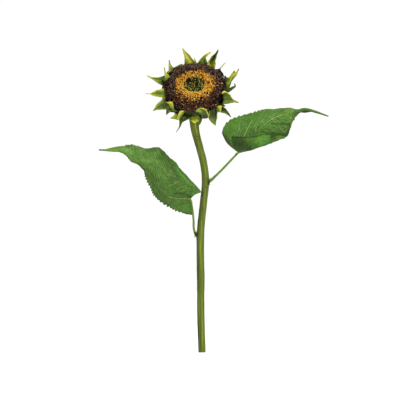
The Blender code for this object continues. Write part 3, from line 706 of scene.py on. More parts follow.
# A blade, by shares along and across it. midrib and rib are where the midrib runs and how strongly it shows.
# rise is how far ahead a side vein ends and its bend, on the far and the near side. Up to bare, the far side
# has regular veins only near its margin. strong, minor and creases are lines measured in the photo. tone is the
# blade's base tone, set lower on the left leaf as painted shade. patches are places of the front and the
# back painted lighter or darker with painted light and shade, and calm ones those where the veins hardly show:
# along, across, length, width, amount
LeafLook = namedtuple("LeafLook", "midrib rib rise bare strong minor creases edges tone patches calm")
LEFT_LOOK = LeafLook(
    midrib=(
        (0, 0.48), (0.06, 0.55), (0.12, 0.64), (0.18, 0.715), (0.25, 0.79), (0.38, 0.78), (0.46, 0.66), (0.54, 0.54),
        (0.65, 0.5), (1, 0.5),
    ),
    rib=((0, 0.5), (0.2, 0.3), (0.26, 0.2), (0.34, 0.15), (1, 0.1)),
    rise=((0.3, 1.25), (0.3, 1.25)),
    bare=0.24,
    strong=(((0.02, 0.5), (0.06, 0.55), (0.12, 0.64), (0.18, 0.715), (0.24, 0.78)),),
    minor=(
        ((0.1, 0.14), (0.13, 0.13), (0.165, 0.118), (0.22, 0.098)), ((0.355, 0.43), (0.31, 0.38), (0.258, 0.32)),
        ((0.34, 0.36), (0.315, 0.335), (0.258, 0.32)),
        ((0.275, 0.57), (0.26, 0.52), (0.215, 0.405), (0.172, 0.265)),
        ((0.193, 0.535), (0.165, 0.42), (0.122, 0.305)), ((0.16, 0.52), (0.13, 0.43), (0.1, 0.36)),
        ((0.4, 0.3), (0.42, 0.18), (0.44, 0.1)), ((0.47, 0.28), (0.5, 0.17), (0.52, 0.1)),
        ((0.29, 0.225), (0.25, 0.25), (0.217, 0.28)),
    ),
    creases=(((0.02, 0.42), (0.09, 0.47), (0.16, 0.56), (0.2, 0.62)),),
    edges=(
        Edge(
            13, ((0, 1.2), (1, 1.2)), 0.1, 0.85, 0,
            ((0, 0), (0.05, 0.8), (0.12, 0.2), (0.145, 0.5), (0.165, -1), (0.19, -1.2), (0.235, 1), (0.257, 0.2),
             (0.28, -2.5), (0.3, -2.2), (0.33, -1), (0.37, 0.4), (0.47, 1), (0.54, -0.5), (0.61, -1), (0.655, -1.3),
             (0.72, -0.4), (0.76, 1), (0.82, 1.5), (0.85, 0.9), (0.88, -0.1), (0.93, 0.4), (1, 0.9)),
        ),
        Edge(
            6.5, ((0, 3.4), (0.2, 4), (0.3, 4), (0.36, 4), (0.4, 9.5), (0.47, 10), (0.53, 4)), 0.06, 0.68, 0.6,
            ((0, 3), (0.06, 2.5), (0.1, 0.4), (0.16, -0.4), (0.23, -2), (0.28, 0.2), (0.32, 1.6), (0.36, 1.4),
             (0.4, -0.2), (0.43, 2.2), (0.46, 3), (0.485, 1), (0.51, -4), (0.56, -4.5), (0.59, -3.5), (0.61, 0),
             (0.635, 3.4), (0.66, 2.6), (0.7, 0.8), (0.8, 0.4), (0.84, -0.6), (0.88, -1), (0.93, 0.2), (1, 1)),
        ),
    ),
    tone=0.225,
    patches=((), (
        (0.02, 0.96, 0.06, 0.14, -0.1), (0.12, 0.8, 0.06, 0.08, 0.06), (0.1, 0.47, 0.1, 0.09, -0.1),
        (0.2, 0.55, 0.12, 0.22, -0.1), (0.04, 0.2, 0.07, 0.2, -0.1), (0.16, 0.12, 0.09, 0.03, 0.22),
        (0.25, 0.17, 0.06, 0.08, -0.14), (0.34, 0.45, 0.06, 0.1, 0.04), (0.42, 0.6, 0.05, 0.12, -0.1),
        (0.44, 0.96, 0.05, 0.05, 0.3), (0.5, 0.25, 0.15, 0.3, 0.2), (0.62, 0.75, 0.08, 0.15, 0.12),
        (0.88, 0.5, 0.2, 0.7, 0.8), (1, 0.5, 0.04, 0.8, -0.4),
    )),
    calm=(
        (0.42, 0.88, 0.14, 0.2, -0.6), (0.12, 0.84, 0.14, 0.16, -0.35), (0.3, 0.97, 0.1, 0.15, -0.5),
    ),
)
RIGHT_LOOK = LeafLook(
    midrib=(
        (0, 0.5), (0.24, 0.48), (0.3, 0.485), (0.35, 0.468), (0.41, 0.455), (0.46, 0.472), (0.56, 0.495), (1, 0.5)
    ),
    rib=((0, 0.5), (0.28, 0.55), (0.36, 0.85), (0.42, 1), (0.5, 1), (0.58, 0.6), (0.75, 0.4), (1, 0.1)),
    rise=((0.24, 1.25), (0.36, 0.7)),
    bare=0,
    strong=(((0.1, 0.41), (0.13, 0.37), (0.177, 0.315), (0.21, 0.255), (0.24, 0.18)),),
    minor=(
        ((0.25, 0.46), (0.25, 0.38), (0.27, 0.28), (0.287, 0.195)),
        ((0.3, 0.46), (0.3, 0.38), (0.32, 0.28), (0.335, 0.2)),
        ((0.06, 0.35), (0.1, 0.28), (0.14, 0.2), (0.17, 0.1)),
        ((0.38, 0.52), (0.44, 0.55), (0.5, 0.62), (0.54, 0.7)),
        ((0.33, 0.52), (0.4, 0.57), (0.46, 0.63), (0.51, 0.73)),
    ),
    creases=(
        ((0.285, 0.54), (0.315, 0.575), (0.343, 0.6), (0.37, 0.63), (0.4, 0.655), (0.438, 0.68), (0.477, 0.71),
         (0.512, 0.795)),
        ((0.31, 0.59), (0.343, 0.62), (0.4, 0.675), (0.45, 0.715), (0.49, 0.77)),
        ((0.39, 0.53), (0.412, 0.55), (0.438, 0.57), (0.465, 0.585), (0.495, 0.605), (0.525, 0.63), (0.555, 0.695),
         (0.57, 0.78)),
    ),
    edges=(
        Edge(
            9.5, ((0, 2.6), (1, 2.6)), 0.04, 0.44, 0.15,
            ((0, 1.4), (0.03, 3), (0.05, 2.8), (0.09, 0.2), (0.13, 1.6), (0.2, 1.8), (0.24, 0.4), (0.28, 0.4),
             (0.33, 0.8), (0.39, 0), (0.41, 0.3), (0.45, 1.6), (0.49, 2), (0.54, 1.4), (0.6, -0.2), (0.65, -1),
             (0.7, 1), (0.74, 1.2), (0.78, 0.2), (1, 0.5)),
        ),
        Edge(
            6.5, ((0, 5), (1, 5)), 0.42, 0.76, 0.4,
            ((0, 0), (0.3, 0), (0.36, -1.6), (0.42, -1), (0.46, 0.5), (0.49, 1), (0.515, -1.5), (0.54, -2),
             (0.58, -0.2), (0.65, -1.2), (0.69, 0), (1, 0)),
        ),
    ),
    tone=0.365,
    patches=((
        (0.35, 0.2, 0.25, 0.2, 0.12), (0.03, 0.12, 0.06, 0.14, -0.14), (0, 0.24, 0.024, 0.18, -1.1),
        (0.05, 0.27, 0.04, 0.12, -0.14), (0.12, 0.36, 0.06, 0.04, -0.2), (0.22, 0.45, 0.06, 0.05, -0.2),
        (0.45, 0.73, 0.1, 0.1, -0.3), (0.6, 0.42, 0.14, 0.12, 0.2), (0.6, 0.05, 0.15, 0.06, 0.16),
        (0.8, 0.95, 0.07, 0.25, -1.1), (0.86, 0.4, 0.1, 0.4, 0.2),
    ), (
        (0.03, 0.9, 0.1, 0.6, -0.38), (0.13, 0.8, 0.09, 0.12, -0.22), (0.24, 0.93, 0.09, 0.14, 0.13),
        (0.355, 0.9, 0.03, 0.1, -0.4), (0.44, 0.85, 0.07, 0.08, 0.2), (0.79, 0.85, 0.06, 0.4, -1.5),
    )),
    calm=(
        (0, 0.05, 0.07, 0.25, -0.8), (0.45, 0.66, 0.1, 0.08, -0.4),
    ),
)
SHAPE_REACH = 16  # columns over which a margin's shape dies away inwards
TOOTH_REACH = (1, 0.75, 0.5, 0.28, 0.1)  # share of a tooth's push from the margin inwards
TOOTH_PEAK = 0.75  # where along a tooth its point is
SOFT_ROWS = 7  # rows to either side over which a margin's shape is softened
TOOTH_SIZES = [rng.choice((0.45, 0.8, 1.1, 1.5)) for _ in range(90)]
LATERALS = (0.0, 0.07, 0.15, 0.23, 0.31, 0.39, 0.47, 0.55, 0.63, 0.71, 0.79, 0.87)
FINE_LATERALS = 2  # steps between one side vein and the next
LADDER = 0.13  # how far apart the cross veins are, as a share of half the width


def blade_place(stations, along, across):
    """Points of the blade at pairs of shares along it and across it."""
    stations = np.array(stations, dtype=float)
    rows = curve_weights(len(stations), along)
    columns = curve_weights(5, across)
    return np.einsum("mk,mj,kjc->mc", rows, columns, stations)


def lateral(midrib, rise, start, way, out):
    """Where a side vein that leaves the midrib at a share runs, for each share out to the margin."""
    reach, bend = rise[(way + 1) // 2]
    along = np.clip(start + (reach * (1 - start) + 0.05) * out**bend, 0, 0.995)
    rib = np.interp(along, *zip(*midrib))
    return along, rib + ((way + 1) / 2 - rib) * out


def vein_lines(midrib, rise, bare):
    """Shares along and across for the midrib, the side veins, finer ones between them and cross veins."""
    course = np.linspace(0, 0.98, 700)
    out = np.linspace(0, 0.97, 160)
    sides, fine, ladders = [], [], []
    for way in (-1, 1):
        starts = []
        for low, high in zip(LATERALS, LATERALS[1:]):
            for step in range(FINE_LATERALS):
                starts.append(low + (high - low) * (step + rng.uniform(-0.12, 0.12) * (step > 0)) / FINE_LATERALS)
        for k, start in enumerate(starts):
            full = way > 0 or start >= bare
            line = lateral(midrib, rise, start, way, out if full else out[len(out) // 2 :])
            if k % FINE_LATERALS:
                fine.append((line[0] + 0.004 * np.sin(line[1] * 12 + start * 60), line[1]))
            else:
                sides.append(line)
        for low, high in zip(starts, starts[1:]):
            for rung in np.arange(0.06 if way > 0 or low >= bare else 0.55, 0.97, LADDER):
                swing = rng.uniform(-0.05, 0.05)
                near, far = (
                    lateral(midrib, rise, start, way, np.clip(rung + swing + slant, 0, 1))
                    for start, slant in ((low, 0.02), (high, -0.02))
                )
                t = np.linspace(0, 1, 12)
                bow = 0.01 * np.sin(t * math.pi) * rng.choice((-1, 1))
                ladders.append((near[0] + (far[0] - near[0]) * t, near[1] + (far[1] - near[1]) * t + bow))
    return [[(course, np.interp(course, *zip(*midrib)))], sides, fine, ladders]


def smooth_lines(lines):
    """Smooth curves through lines of (share along, share across) points."""
    curves = []
    for line in lines:
        points = curve_weights(len(line), np.linspace(0, 1, 240)) @ np.array(line)
        curves.append((points[:, 0], points[:, 1]))
    return curves


def distances(points, lines, stations):
    """How far each point is from the nearest of the lines."""
    samples = np.concatenate([blade_place(stations, np.asarray(a), np.asarray(b)) for a, b in lines])
    tree = KDTree(len(samples))
    for k, place in enumerate(samples):
        tree.insert(place, k)
    tree.balance()
    found = [tree.find(place)[2] for place in points.reshape(-1, 3)]
    return np.reshape(found, points.shape[:2])


def cut_margin(middle, way, shares, edge):
    """Moves a margin and the blade inside it to its edge's shape, and cuts forward-pointing teeth."""
    columns = range(middle.shape[1])[:: -way]
    window = np.hanning(2 * SOFT_ROWS + 1)

    def softened(line):
        return np.convolve(np.pad(line, SOFT_ROWS, mode="edge"), window / window.sum(), mode="valid")

    outward = unit(middle[:, columns[0]] - middle[:, columns[4]])
    seen = unit((middle[:, columns[0]] - middle[:, columns[28]]) * (1, 0, 1))
    outward = unit(0.3 * outward + unit(np.transpose([softened(line) for line in seen.T])))
    shape = softened(np.interp(shares, *zip(*edge.shape)))
    for k in range(SHAPE_REACH):
        middle[:, columns[k]] += outward * (shape * (1 - k / SHAPE_REACH) ** 1.5)[:, None]
    margin = middle[:, columns[0]].copy()
    ahead = unit(np.gradient(margin, axis=0))
    lengths = lengths_along(margin * (1, 0.5, 1))
    wander = (lengths + 2.4 * np.sin(lengths / 17) + 1.5 * np.sin(lengths / 7.3)) / edge.spacing
    phase = np.mod(wander, 1)
    size = np.array(TOOTH_SIZES)[wander.astype(int) % len(TOOTH_SIZES)]
    height = np.where(phase < TOOTH_PEAK, phase / TOOTH_PEAK, (1 - phase) / (1 - TOOTH_PEAK)) - 0.45
    fade = smooth_step(edge.first, edge.first + 0.05, shares) * (1 - smooth_step(edge.last - 0.15, edge.last, shares))
    depth = np.interp(shares, *zip(*edge.depth))
    push = (height * size * depth * fade)[:, None] * (outward + 0.3 * ahead)
    for k, part in enumerate(TOOTH_REACH):
        middle[:, columns[k]] += push * part


def patched(tone, patches, along, across):
    """The tone over the blade, painted lighter or darker over its shading patches."""
    tone = tone + 0 * along + 0 * across
    for place, side, length, width, amount in patches:
        tone = tone + amount * hump(along, length, place) * hump(across, width, side)
    return tone


def leaf(name, stations, replaced, finishes, top_side, look):
    """A leaf blade with veins sunk into its top, puckers between them and toothed margins.

    top_side is 1 where the blade's grid faces its top, and -1 where it faces the underside.
    """
    shares = np.linspace(0, 1, LEAF_ROWS + 1)
    sides = np.linspace(0, 1, LEAF_COLUMNS + 1)
    middle = spread(np.array(stations, dtype=float), shares, sides)
    lines = vein_lines(look.midrib, look.rise, look.bare)
    lines += [smooth_lines(measured) for measured in (look.strong, look.minor, look.creases)]
    to_rib, to_side, to_fine, to_cross, to_strong, to_minor, to_crease = (
        distances(middle, kind, stations) for kind in lines
    )
    out = np.abs(sides - 0.5)[None, :] * 2
    rib = hump(to_rib, 1.5 * (1 - 0.6 * shares)[:, None])
    strong = hump(to_strong, 1)
    minor = hump(to_minor, 0.8)
    side = hump(to_side, 0.85 * (1.15 - 0.5 * out))
    fine = hump(to_fine, 0.75)
    cross = hump(to_cross, 0.7)
    crease = hump(to_crease, 1.8)
    wide = np.linalg.norm(middle[:, -1] - middle[:, 0], axis=1)[:, None]
    room = smooth_step(2, 22, wide) * smooth_step(0, 0.05, shares)[:, None]
    quilt = 0.8 * (1 - hump(np.minimum(to_rib, to_side), 4))
    quilt = quilt + 0.5 * (1 - hump(np.minimum(to_fine, to_cross), 1.8)) - 0.65
    rise = quilt - 0.5 * rib - 0.4 * strong - 0.35 * np.maximum(side, minor) - 0.2 * fine - 0.15 * cross
    rise = rise - 1.2 * crease + 0.9 * ripple(middle, 15, 2)
    middle = middle + normals(middle) * (top_side * rise * room)[..., None]
    cut_margin(middle, -1, shares, look.edges[0])
    cut_margin(middle, 1, shares, look.edges[1])
    margin = smooth_step(0.9, 1, out)
    thickness = LEAF_EDGE + (LEAF_THICKNESS - LEAF_EDGE) * (1 - margin) + 0.7 * rib * room
    rib_shows = np.interp(shares, *zip(*look.rib))[:, None]
    calm = patched(1, look.calm, shares[:, None], sides[None, :]) * (0.8 + 0.7 * ripple(middle, 11, 31))
    lesser = np.maximum.reduce([0.8 * side, 0.74 * fine, 0.52 * cross]) * np.clip(calm, 0, 1.25)
    lesser = lesser * smooth_step(6, 34, wide)
    vein = np.maximum.reduce([rib * rib_shows, 0.9 * strong, 0.6 * minor, lesser])
    from_margin = np.cumsum(np.linalg.norm(np.diff(middle, axis=1), axis=2), axis=1)
    # painted shade darkening the blade along its margins
    margin_shade = np.zeros(middle.shape[:2])
    margin_shade[:, 1:] += look.edges[0].dark * hump(from_margin, 1.5)
    margin_shade[:, :-1] += look.edges[1].dark * hump(from_margin[:, -1:] - from_margin, 1.5)
    margin_shade[:, 0] += look.edges[0].dark
    margin_shade[:, -1] += look.edges[1].dark
    # painted light and shade: lighter on the puckers between the veins, darker in the creases and along the margins
    shade = 0.2 * quilt - 0.35 * crease - margin_shade
    tones = [patched(look.tone, part, shares[:, None], sides[None, :]) + shade for part in look.patches]
    vein = vein * (1 - crease) * np.clip(1 - 2 * margin_shade, 0, 1)
    front, back = ({"vein": vein * np.clip(1.3 + 2 * tone, 0, 1), "tone": tone} for tone in tones)
    shell(name, middle, thickness, finishes, "leaf", replaced, front, back)


def leaves():
    top = leaf_finish("leaf_top", TOP_VEINS, 0.9)
    under = leaf_finish("leaf_under", UNDER_VEINS, 0.72)
    leaf("left_leaf_blade", LEFT_LEAF, ("left_leaf",), [under, top], -1, LEFT_LOOK)
    leaf("right_leaf_blade", RIGHT_LEAF, ("right_leaf",), [top, under], 1, RIGHT_LOOK)


# ---- bracts ----


def ring_place(clock, reach, height):
    angle = math.radians(clock)
    return Vector((reach * math.cos(angle), reach * math.sin(angle), height))


def seen_place(place):
    """From (sideways, height as seen from the front, out of the face) to a place on the head."""
    return np.array((place[0], (place[1] - place[2] * math.sin(LEAN)) / math.cos(LEAN), place[2]))


def bract_guides(bract, root_radius, root_height):
    """A blade's rows of left margin, middle and right margin, from its root to its tip."""
    rows = [[seen_place(place) for place in row] for row in bract.rows]
    first = rows[0][1]
    if first[2] > root_height + RISEN:
        rim_radius, rim_height = RIM_RADIUS, root_height + RIM_RISE
    else:
        rim_radius = (root_radius + np.linalg.norm(first[:2])) / 2
        rim_height = (root_height + first[2]) / 2
    first_clock = math.degrees(math.atan2(first[1], first[0]))
    first_clock = bract.clock + (first_clock - bract.clock + 180) % 360 - 180
    middle_clock = (bract.clock + first_clock) / 2
    ends = [
        (bract.clock, root_radius + BRACT_ROOT_GAP, root_height, ROOT_SHARE),
        (middle_clock, rim_radius, rim_height, 1),
    ]
    if np.linalg.norm(first[:2]) < ON_DISC[0] and root_height > BACK_ROOT and first[2] > ON_DISC[1]:
        ends.append((middle_clock, *OVER_RIM, 1))
    starts = []
    for clock, radius, height, share in ends:  # share is how much of its width it has there
        half = math.degrees(bract.width * share / 2 / radius)
        starts.append([np.array(ring_place(clock + half * way, radius, height)) for way in (1, 0, -1)])
    tip = seen_place(bract.tip_place)
    sideways = unit(rows[-1][2] - rows[-1][0]) * bract.point / 2
    return np.array(starts + rows + [[tip - sideways, tip, tip + sideways]]), len(starts) - 0.5


def bract_piece(name, number, bract, root_radius, root_height, finish, replaced):
    guides, hidden = bract_guides(bract, root_radius, root_height)
    share = np.linspace(0, 1, BRACT_ROWS + 1)[:, None]
    side = np.linspace(-1, 1, BRACT_COLUMNS + 1)[None, :]
    middle = head_place(spread(guides, share[:, 0], (side[0] + 1) / 2))
    share = np.clip((share * (len(guides) - 1) - hidden) / (len(guides) - 1 - hidden), 0, 1)
    wide = np.linalg.norm(np.diff(middle, axis=1), axis=2).sum(axis=1)[:, None]
    room = smooth_step(1.5, 12, wide) * smooth_step(0, 0.2, share)
    lines = np.cos(side * math.pi * 4.5) * 0.2 * smooth_step(3, 12, wide)
    pucker = (1.3 * ripple(middle, 9, number) + 0.6 * ripple(middle, 4, number + 40)) * room
    middle = middle + normals(middle) * (lines + pucker)[..., None]
    thickness = BRACT_EDGE + (BRACT_THICKNESS - BRACT_EDGE) * (1 - side**2) * (1 - 0.7 * share)
    grain = np.stack([side * 3.5 + 0 * share, share * 1.4 + 0 * side, number + 0 * share * side], axis=2)
    edge = smooth_step(0.4, 0.95, np.abs(side))
    ripe_and_shade = bract.root + (bract.tip - bract.root) * smooth_step(0.1, 0.9, share)
    ripe_and_shade = ripe_and_shade + edge * np.where(side < 0, bract.left, bract.right)
    ripe_and_shade = ripe_and_shade + bract.core * hump(side, 0.35) * smooth_step(0.05, 0.3, share)
    ripe_and_shade = ripe_and_shade + 0.22 * ripple(grain, 1, 1) + 0.12 * ripple(middle, 5, number + 9)
    # painted shade: darker near the root, where the disc shades the bract
    ripe_and_shade = ripe_and_shade - 0.3 * (1 - smooth_step(0, 0.22, share))
    burn = bract.burn * smooth_step(0.78, 1, share) * (1 + 0 * side)
    front, back = {"ripe_and_shade": ripe_and_shade, "burn": burn}, {"ripe_and_shade": ripe_and_shade - 0.08, "burn": burn}
    shell(name, middle, thickness, [finish], "bract", replaced, front, back)


def hidden_bracts():
    """The short bracts behind the disc, at the places of the CAD source's."""
    draws = random.Random(HIDDEN_SEED)
    whorl = []
    for k in range(HIDDEN_BRACTS):
        clock = HIDDEN_FROM + k * (HIDDEN_TO - HIDDEN_FROM) / (HIDDEN_BRACTS - 1)
        tip_clock = clock + draws.uniform(-HIDDEN_SWING, HIDDEN_SWING)
        rows = [
            [as_seen(middle + way * swing, radius, BACK_ROOT + rise) for way in (1, 0, -1)]
            for middle, (swing, radius, rise) in zip((clock, tip_clock), HIDDEN_ROWS)
        ]
        tip = as_seen(tip_clock, HIDDEN_TIP[0], BACK_ROOT + HIDDEN_TIP[1])
        whorl.append(Bract(clock, HIDDEN_WIDTH, rows, tip, root=0.15, tip=0.4))
    return tuple(whorl)


def as_seen(clock, radius, height):
    """The opposite of seen_place, from a place on a ring."""
    place = ring_place(clock, radius, height)
    return (place[0], place[1] * math.cos(LEAN) + height * math.sin(LEAN), height)


def bracts():
    finish = bract_finish("bract_green", LIGHT_LEVEL)
    shade_lifted_finish = bract_finish("bract_shade_lifted", SHADED_LEVEL)
    whorls = (
        (UPPER_BRACTS, CUP_RADIUS, UPPER_ROOT),
        (LOWER_BRACTS, CUP_RADIUS, LOWER_ROOT),
        (BACK_BRACTS + hidden_bracts(), COLLAR_RADIUS, BACK_ROOT),
    )
    placed = [(bract, *root) for whorl, *root in whorls for bract in whorl]
    for number, (bract, *root) in enumerate(placed, 1):
        name = f"bract_{number:02d}"
        # painted light: the bract in the head's shade gets a copy of the finish with its colours lifted
        chosen = shade_lifted_finish if bract is BACK_BRACTS[0] else finish
        bract_piece(name + "_blade", number, bract, *root, chosen, (name,))


# ---- receptacle and disc ----


def turned_piece(name, profile, sides, relief, tone, finish, slot, replaced):
    """A surface turned round the head's axis from (radius, height) points, closed on the axis at both ends."""
    angles = np.linspace(0, 2 * math.pi, sides, endpoint=False)
    across = np.stack([np.cos(angles), np.sin(angles), 0 * angles], axis=1)
    body = profile[:, None, 0, None] * across[None] + profile[:, None, 1, None] * UP
    body = relief(body, profile, angles)
    ends = head_place([(0, 0, profile[0, 1]), (0, 0, profile[-1, 1])])
    ringed_piece(name, head_place(body), ends, tone(body), finish, slot, replaced)


def even_profile(points, step):
    """A smooth profile through (radius, height) points, with steps of an even length."""
    smooth = curve_weights(len(points), np.linspace(0, 1, 400)) @ np.array(points, dtype=float)
    return evenly(smooth, step, 2)


CUP_PROFILE = (
    (12, -43.5), (15, -42), (24, -41), (35, -39), (42, -34), (50, -29.5), (54.5, -25), (55.3, -18),
    (54, CUP_TOP), (30, CUP_TOP), (4, CUP_TOP),
)
CUP_RIBS = 21


def receptacle():
    def relief(body, profile, angles):
        radius = np.maximum(profile[:, 0], 1)[:, None]
        rear = smooth_step(0, 8, CUP_TOP - profile[:, 1])[:, None]
        rib = np.cos(angles[None, :] * CUP_RIBS) * smooth_step(13, 30, radius) * (1 - smooth_step(40, 52, radius))
        swell = (0.5 * rib + 0.9 * ripple(body, 9, 21) + 0.3 * ripple(body, 3, 22)) * rear
        outward = body / np.maximum(np.linalg.norm(body, axis=-1, keepdims=True), 1)
        return body + outward * swell[..., None]

    # lighter towards the neck; painted shade darkens the cup towards its rim, under the bracts
    def tone(body):
        radius = np.linalg.norm(body[..., :2], axis=-1)
        return 0.4 + 0.15 * smooth_step(35, 15, radius) - 0.3 * smooth_step(42, 52, radius)

    profile = even_profile(CUP_PROFILE, CUP_MESH[1])
    finish = stem_finish("receptacle_green", CUP_GREENS)
    turned_piece("receptacle_skin", profile, CUP_MESH[0], relief, tone, finish, "receptacle", ("receptacle",))


DISC_PROFILE = (
    (0, 3.5), (14, 4), (22.5, 6), (27, 10), (34, 12.5), (40.5, 12.3), (48, 11), (56, 8.5), (61.5, 4),
    (63, -1), (61.5, -7), (58, -12.3),
)
FLORET_SPACING = 2.45
CROWDING = ((0, 1.6), (21, 1.6), (24, 1.45), (40, 1.45), (46, 1.31), (70, 1.31))  # radius, how many more grow
GOLDEN_ANGLE = math.pi * (3 - math.sqrt(5))
KINDS = 10  # different florets of each sort
BED_DEPTH = 2.6
BED_FLOOR = ((40, CUP_TOP - 0.2), (4, CUP_TOP - 0.2))
FLAT_SIDE = 2  # how far the disc is pressed in at its left


def flattened(points):
    """The disc's points, pressed in a little on its left side."""
    moved = np.array(points, dtype=float)
    moved[..., 0] += FLAT_SIDE * smooth_step(40, 64, -moved[..., 0])
    return moved


def disc_bed():
    outer = even_profile(DISC_PROFILE, BED_MESH[1])
    slope = unit(np.gradient(outer, axis=0))
    inward = np.stack([slope[:, 1], -slope[:, 0]], axis=1)
    sunk = outer + inward * BED_DEPTH
    profile = np.concatenate([sunk[sunk[:, 0] > 1], BED_FLOOR])[::-1]

    def relief(body, profile, angles):
        return flattened(body)

    def tone(body):
        return 0.5 + 0 * body[..., 0]

    finish = plain_finish("disc_bed_dark", BED_BROWN, 0.9)
    turned_piece("disc_bed", profile, BED_MESH[0], relief, tone, finish, "seeds", ())


def floret_places():
    """Each floret's radius, angle, place and frame (round, outward in the slope, out of the face)."""
    fine = even_profile(DISC_PROFILE, 0.2)
    steps = np.linalg.norm(np.diff(fine, axis=0), axis=1)
    radii = (fine[1:, 0] + fine[:-1, 0]) / 2
    crowding = np.interp(radii, *zip(*CROWDING))
    area = np.concatenate([[0], np.cumsum(2 * math.pi * radii * steps * crowding)])
    count = int(area[-1] / (FLORET_SPACING**2 * 0.95))
    slope = unit(np.gradient(fine, axis=0))
    places = []
    for k in range(count):
        share = (k + 0.5) / count * area[-1]
        radius, height = (np.interp(share, area, fine[:, j]) for j in range(2))
        run, fall = (np.interp(share, area, slope[:, j]) for j in range(2))
        angle = k * GOLDEN_ANGLE
        out = np.array((math.cos(angle), math.sin(angle), 0))
        lengthways = out * run + np.array((0, 0, fall))
        normal = -out * fall + np.array((0, 0, run))
        around = np.cross(normal, lengthways)
        places.append((radius, angle, out * radius + np.array((0, 0, height)), lengthways, around, normal))
    return places


def circle(sides):
    angles = [2 * math.pi * j / sides for j in range(sides)]
    return [(math.cos(angle), math.sin(angle)) for angle in angles]


def closed(points, sides):
    """Rings of points that end in a single one, and the faces of their walls, end and foot."""
    last = len(points) - 1 - sides
    faces = [tuple(range(sides))[::-1]]
    for low in range(0, last + 1, sides):
        for j in range(sides):
            a, b = low + j, low + (j + 1) % sides
            faces.append((a, b, len(points) - 1) if low == last else (a, b, b + sides, a + sides))
    return np.array(points), faces


def turned(rings, top, sides):
    """A small turned form up its axis, from (height, radius) rings and the height of its last point."""
    points = [(radius * x, radius * y, height) for height, radius in rings for x, y in circle(sides)]
    return closed(points + [(0, 0, top)], sides)


def spike(start, heading, bend, length, width, segments=2, sides=3):
    """A bent, pointed spike."""
    start, heading, bend = (np.array(given, dtype=float) for given in (start, heading, bend))
    side = unit(np.cross(heading, (0.3, 0.5, 0.9)))
    other = unit(np.cross(heading, side))
    points = []
    for k in range(segments):
        t = k / segments
        centre = start + (heading * t + bend * t * t) * length
        size = width / 2 * (1 - t) ** 0.7
        points += [centre + (side * x + other * y) * size for x, y in circle(sides)]
    return closed(points + [start + (heading + bend) * length], sides)


def joined(parts):
    """Parts, each its points and faces, as one."""
    faces, count = [], 0
    for points, part_faces in parts:
        faces += [tuple(k + count for k in face) for face in part_faces]
        count += len(points)
    return np.concatenate([points for points, _ in parts]), faces


def spokes(count, swing):
    """Directions outward from a floret's axis, each a little off its even place."""
    for k in range(count):
        angle = 2 * math.pi * k / count + rng.uniform(-swing, swing)
        yield np.array((math.cos(angle), math.sin(angle), 0))


def husk():
    """A spent outer floret: a split brown tube with a sunken mouth and four ragged lobes."""
    parts = [turned(((-3, 0.7), (0.1, 1)), -1.1, 5)]
    for away in spokes(4, 0.4):
        heading = unit(away * rng.uniform(0.2, 0.8) + UP)
        parts.append(spike(away * 0.7 - UP * 0.5, heading, away * rng.uniform(-0.3, 0.4), 1.5, 0.6))
    return joined(parts)


def threads(count):
    """Curled threads that stand out of a floret."""
    parts = []
    for away in spokes(count, 0.8):
        bend = away * rng.uniform(0.3, 1.1) - UP * rng.uniform(0.2, 0.6)
        parts.append(spike((0, 0, 0), unit(away * 0.45 + UP), bend, 1.9 * rng.uniform(0.7, 1.2), 0.5, 3))
    return joined(parts)


def gold_tube():
    """The body of an open floret: a narrow tube with a sunken mouth, and the dark column in its middle."""
    column = spike((0, 0, -0.5), (0, 0, 1), (0.1, 0.1, 0), 3, 0.8, 2, 4)
    return joined([turned(((-3, 0.5), (0.4, 0.8)), -0.4, 5), column])


def gold_lobes():
    """The four or five narrow pointed lobes that an open floret spreads."""
    parts = []
    for away in spokes(rng.choice((4, 5)), 0.3):
        heading = unit(away * rng.uniform(0.3, 0.8) + UP)
        bend = away * rng.uniform(0.1, 0.5)
        parts.append(spike(away * 0.6 + UP * 0.2, heading, bend, rng.uniform(1.3, 2.2), 0.68))
    return joined(parts)


def bud():
    """A closed green bud in the middle of the disc."""
    return turned(((-2.5, 0.8), (-0.6, 1.1), (0.8, 0.85), (1.6, 0.4)), 2.1, 6)


def cloud(name, placed, finishes, slot, replaced):
    """Small things joined into one piece. placed is [(kind, place, frame, scale, number of its finish)]."""
    points, faces = joined(
        [(place + (points * scale) @ axes, faces) for (points, faces), place, axes, scale, _ in placed]
    )
    indices = [number for (_, kind_faces), _, _, _, number in placed for _ in kind_faces]
    add_piece(name, head_place(flattened(points)), faces, finishes, slot, replaced, None, indices, False)


def turned_frame(floret, lean, swing):
    """A floret's own frame, turned at random round its axis and leaned outwards."""
    _, _, _, lengthways, around, normal = floret
    tilt = lengthways * (lean + rng.uniform(-swing, swing)) + around * rng.uniform(-swing, swing)
    normal = unit(normal + tilt)
    first = unit(np.cross((0.31, 0.87, 0.2), normal))
    second = np.cross(normal, first)
    turn = rng.uniform(0, 2 * math.pi)
    x = first * math.cos(turn) + second * math.sin(turn)
    return np.stack([x, np.cross(normal, x), normal])


def dealt(shares):
    """The number of the finish that is drawn, by their shares."""
    return rng.choices(range(len(shares)), shares)[0]


SEED_COLOURS = {
    "seed_black": (32, 24, 20), "seed_brown": (86, 64, 51), "seed_mauve": (122, 100, 91),
    "seed_tan": (166, 140, 118), "seed_rust": (146, 84, 40), "seed_warm": (116, 72, 46),
}
GOLD_COLOURS = {
    "gold_dark": (52, 30, 14), "gold_brown": (122, 66, 20), "gold_deep": (224, 126, 24),
    "gold_orange": (278, 200, 56), "gold_yellow": (300, 250, 116),
}
EYE_COLOURS = {"eye_dark": (34, 37, 22), "eye_olive": (98, 102, 46), "eye_lime": (222, 208, 98)}


def gold_reach(angle):
    """How far out the golden ring goes at an angle round the face."""
    return GOLD_RADIUS - 2.5 + 0.5 * math.cos(angle) - 5 * math.sin(angle)


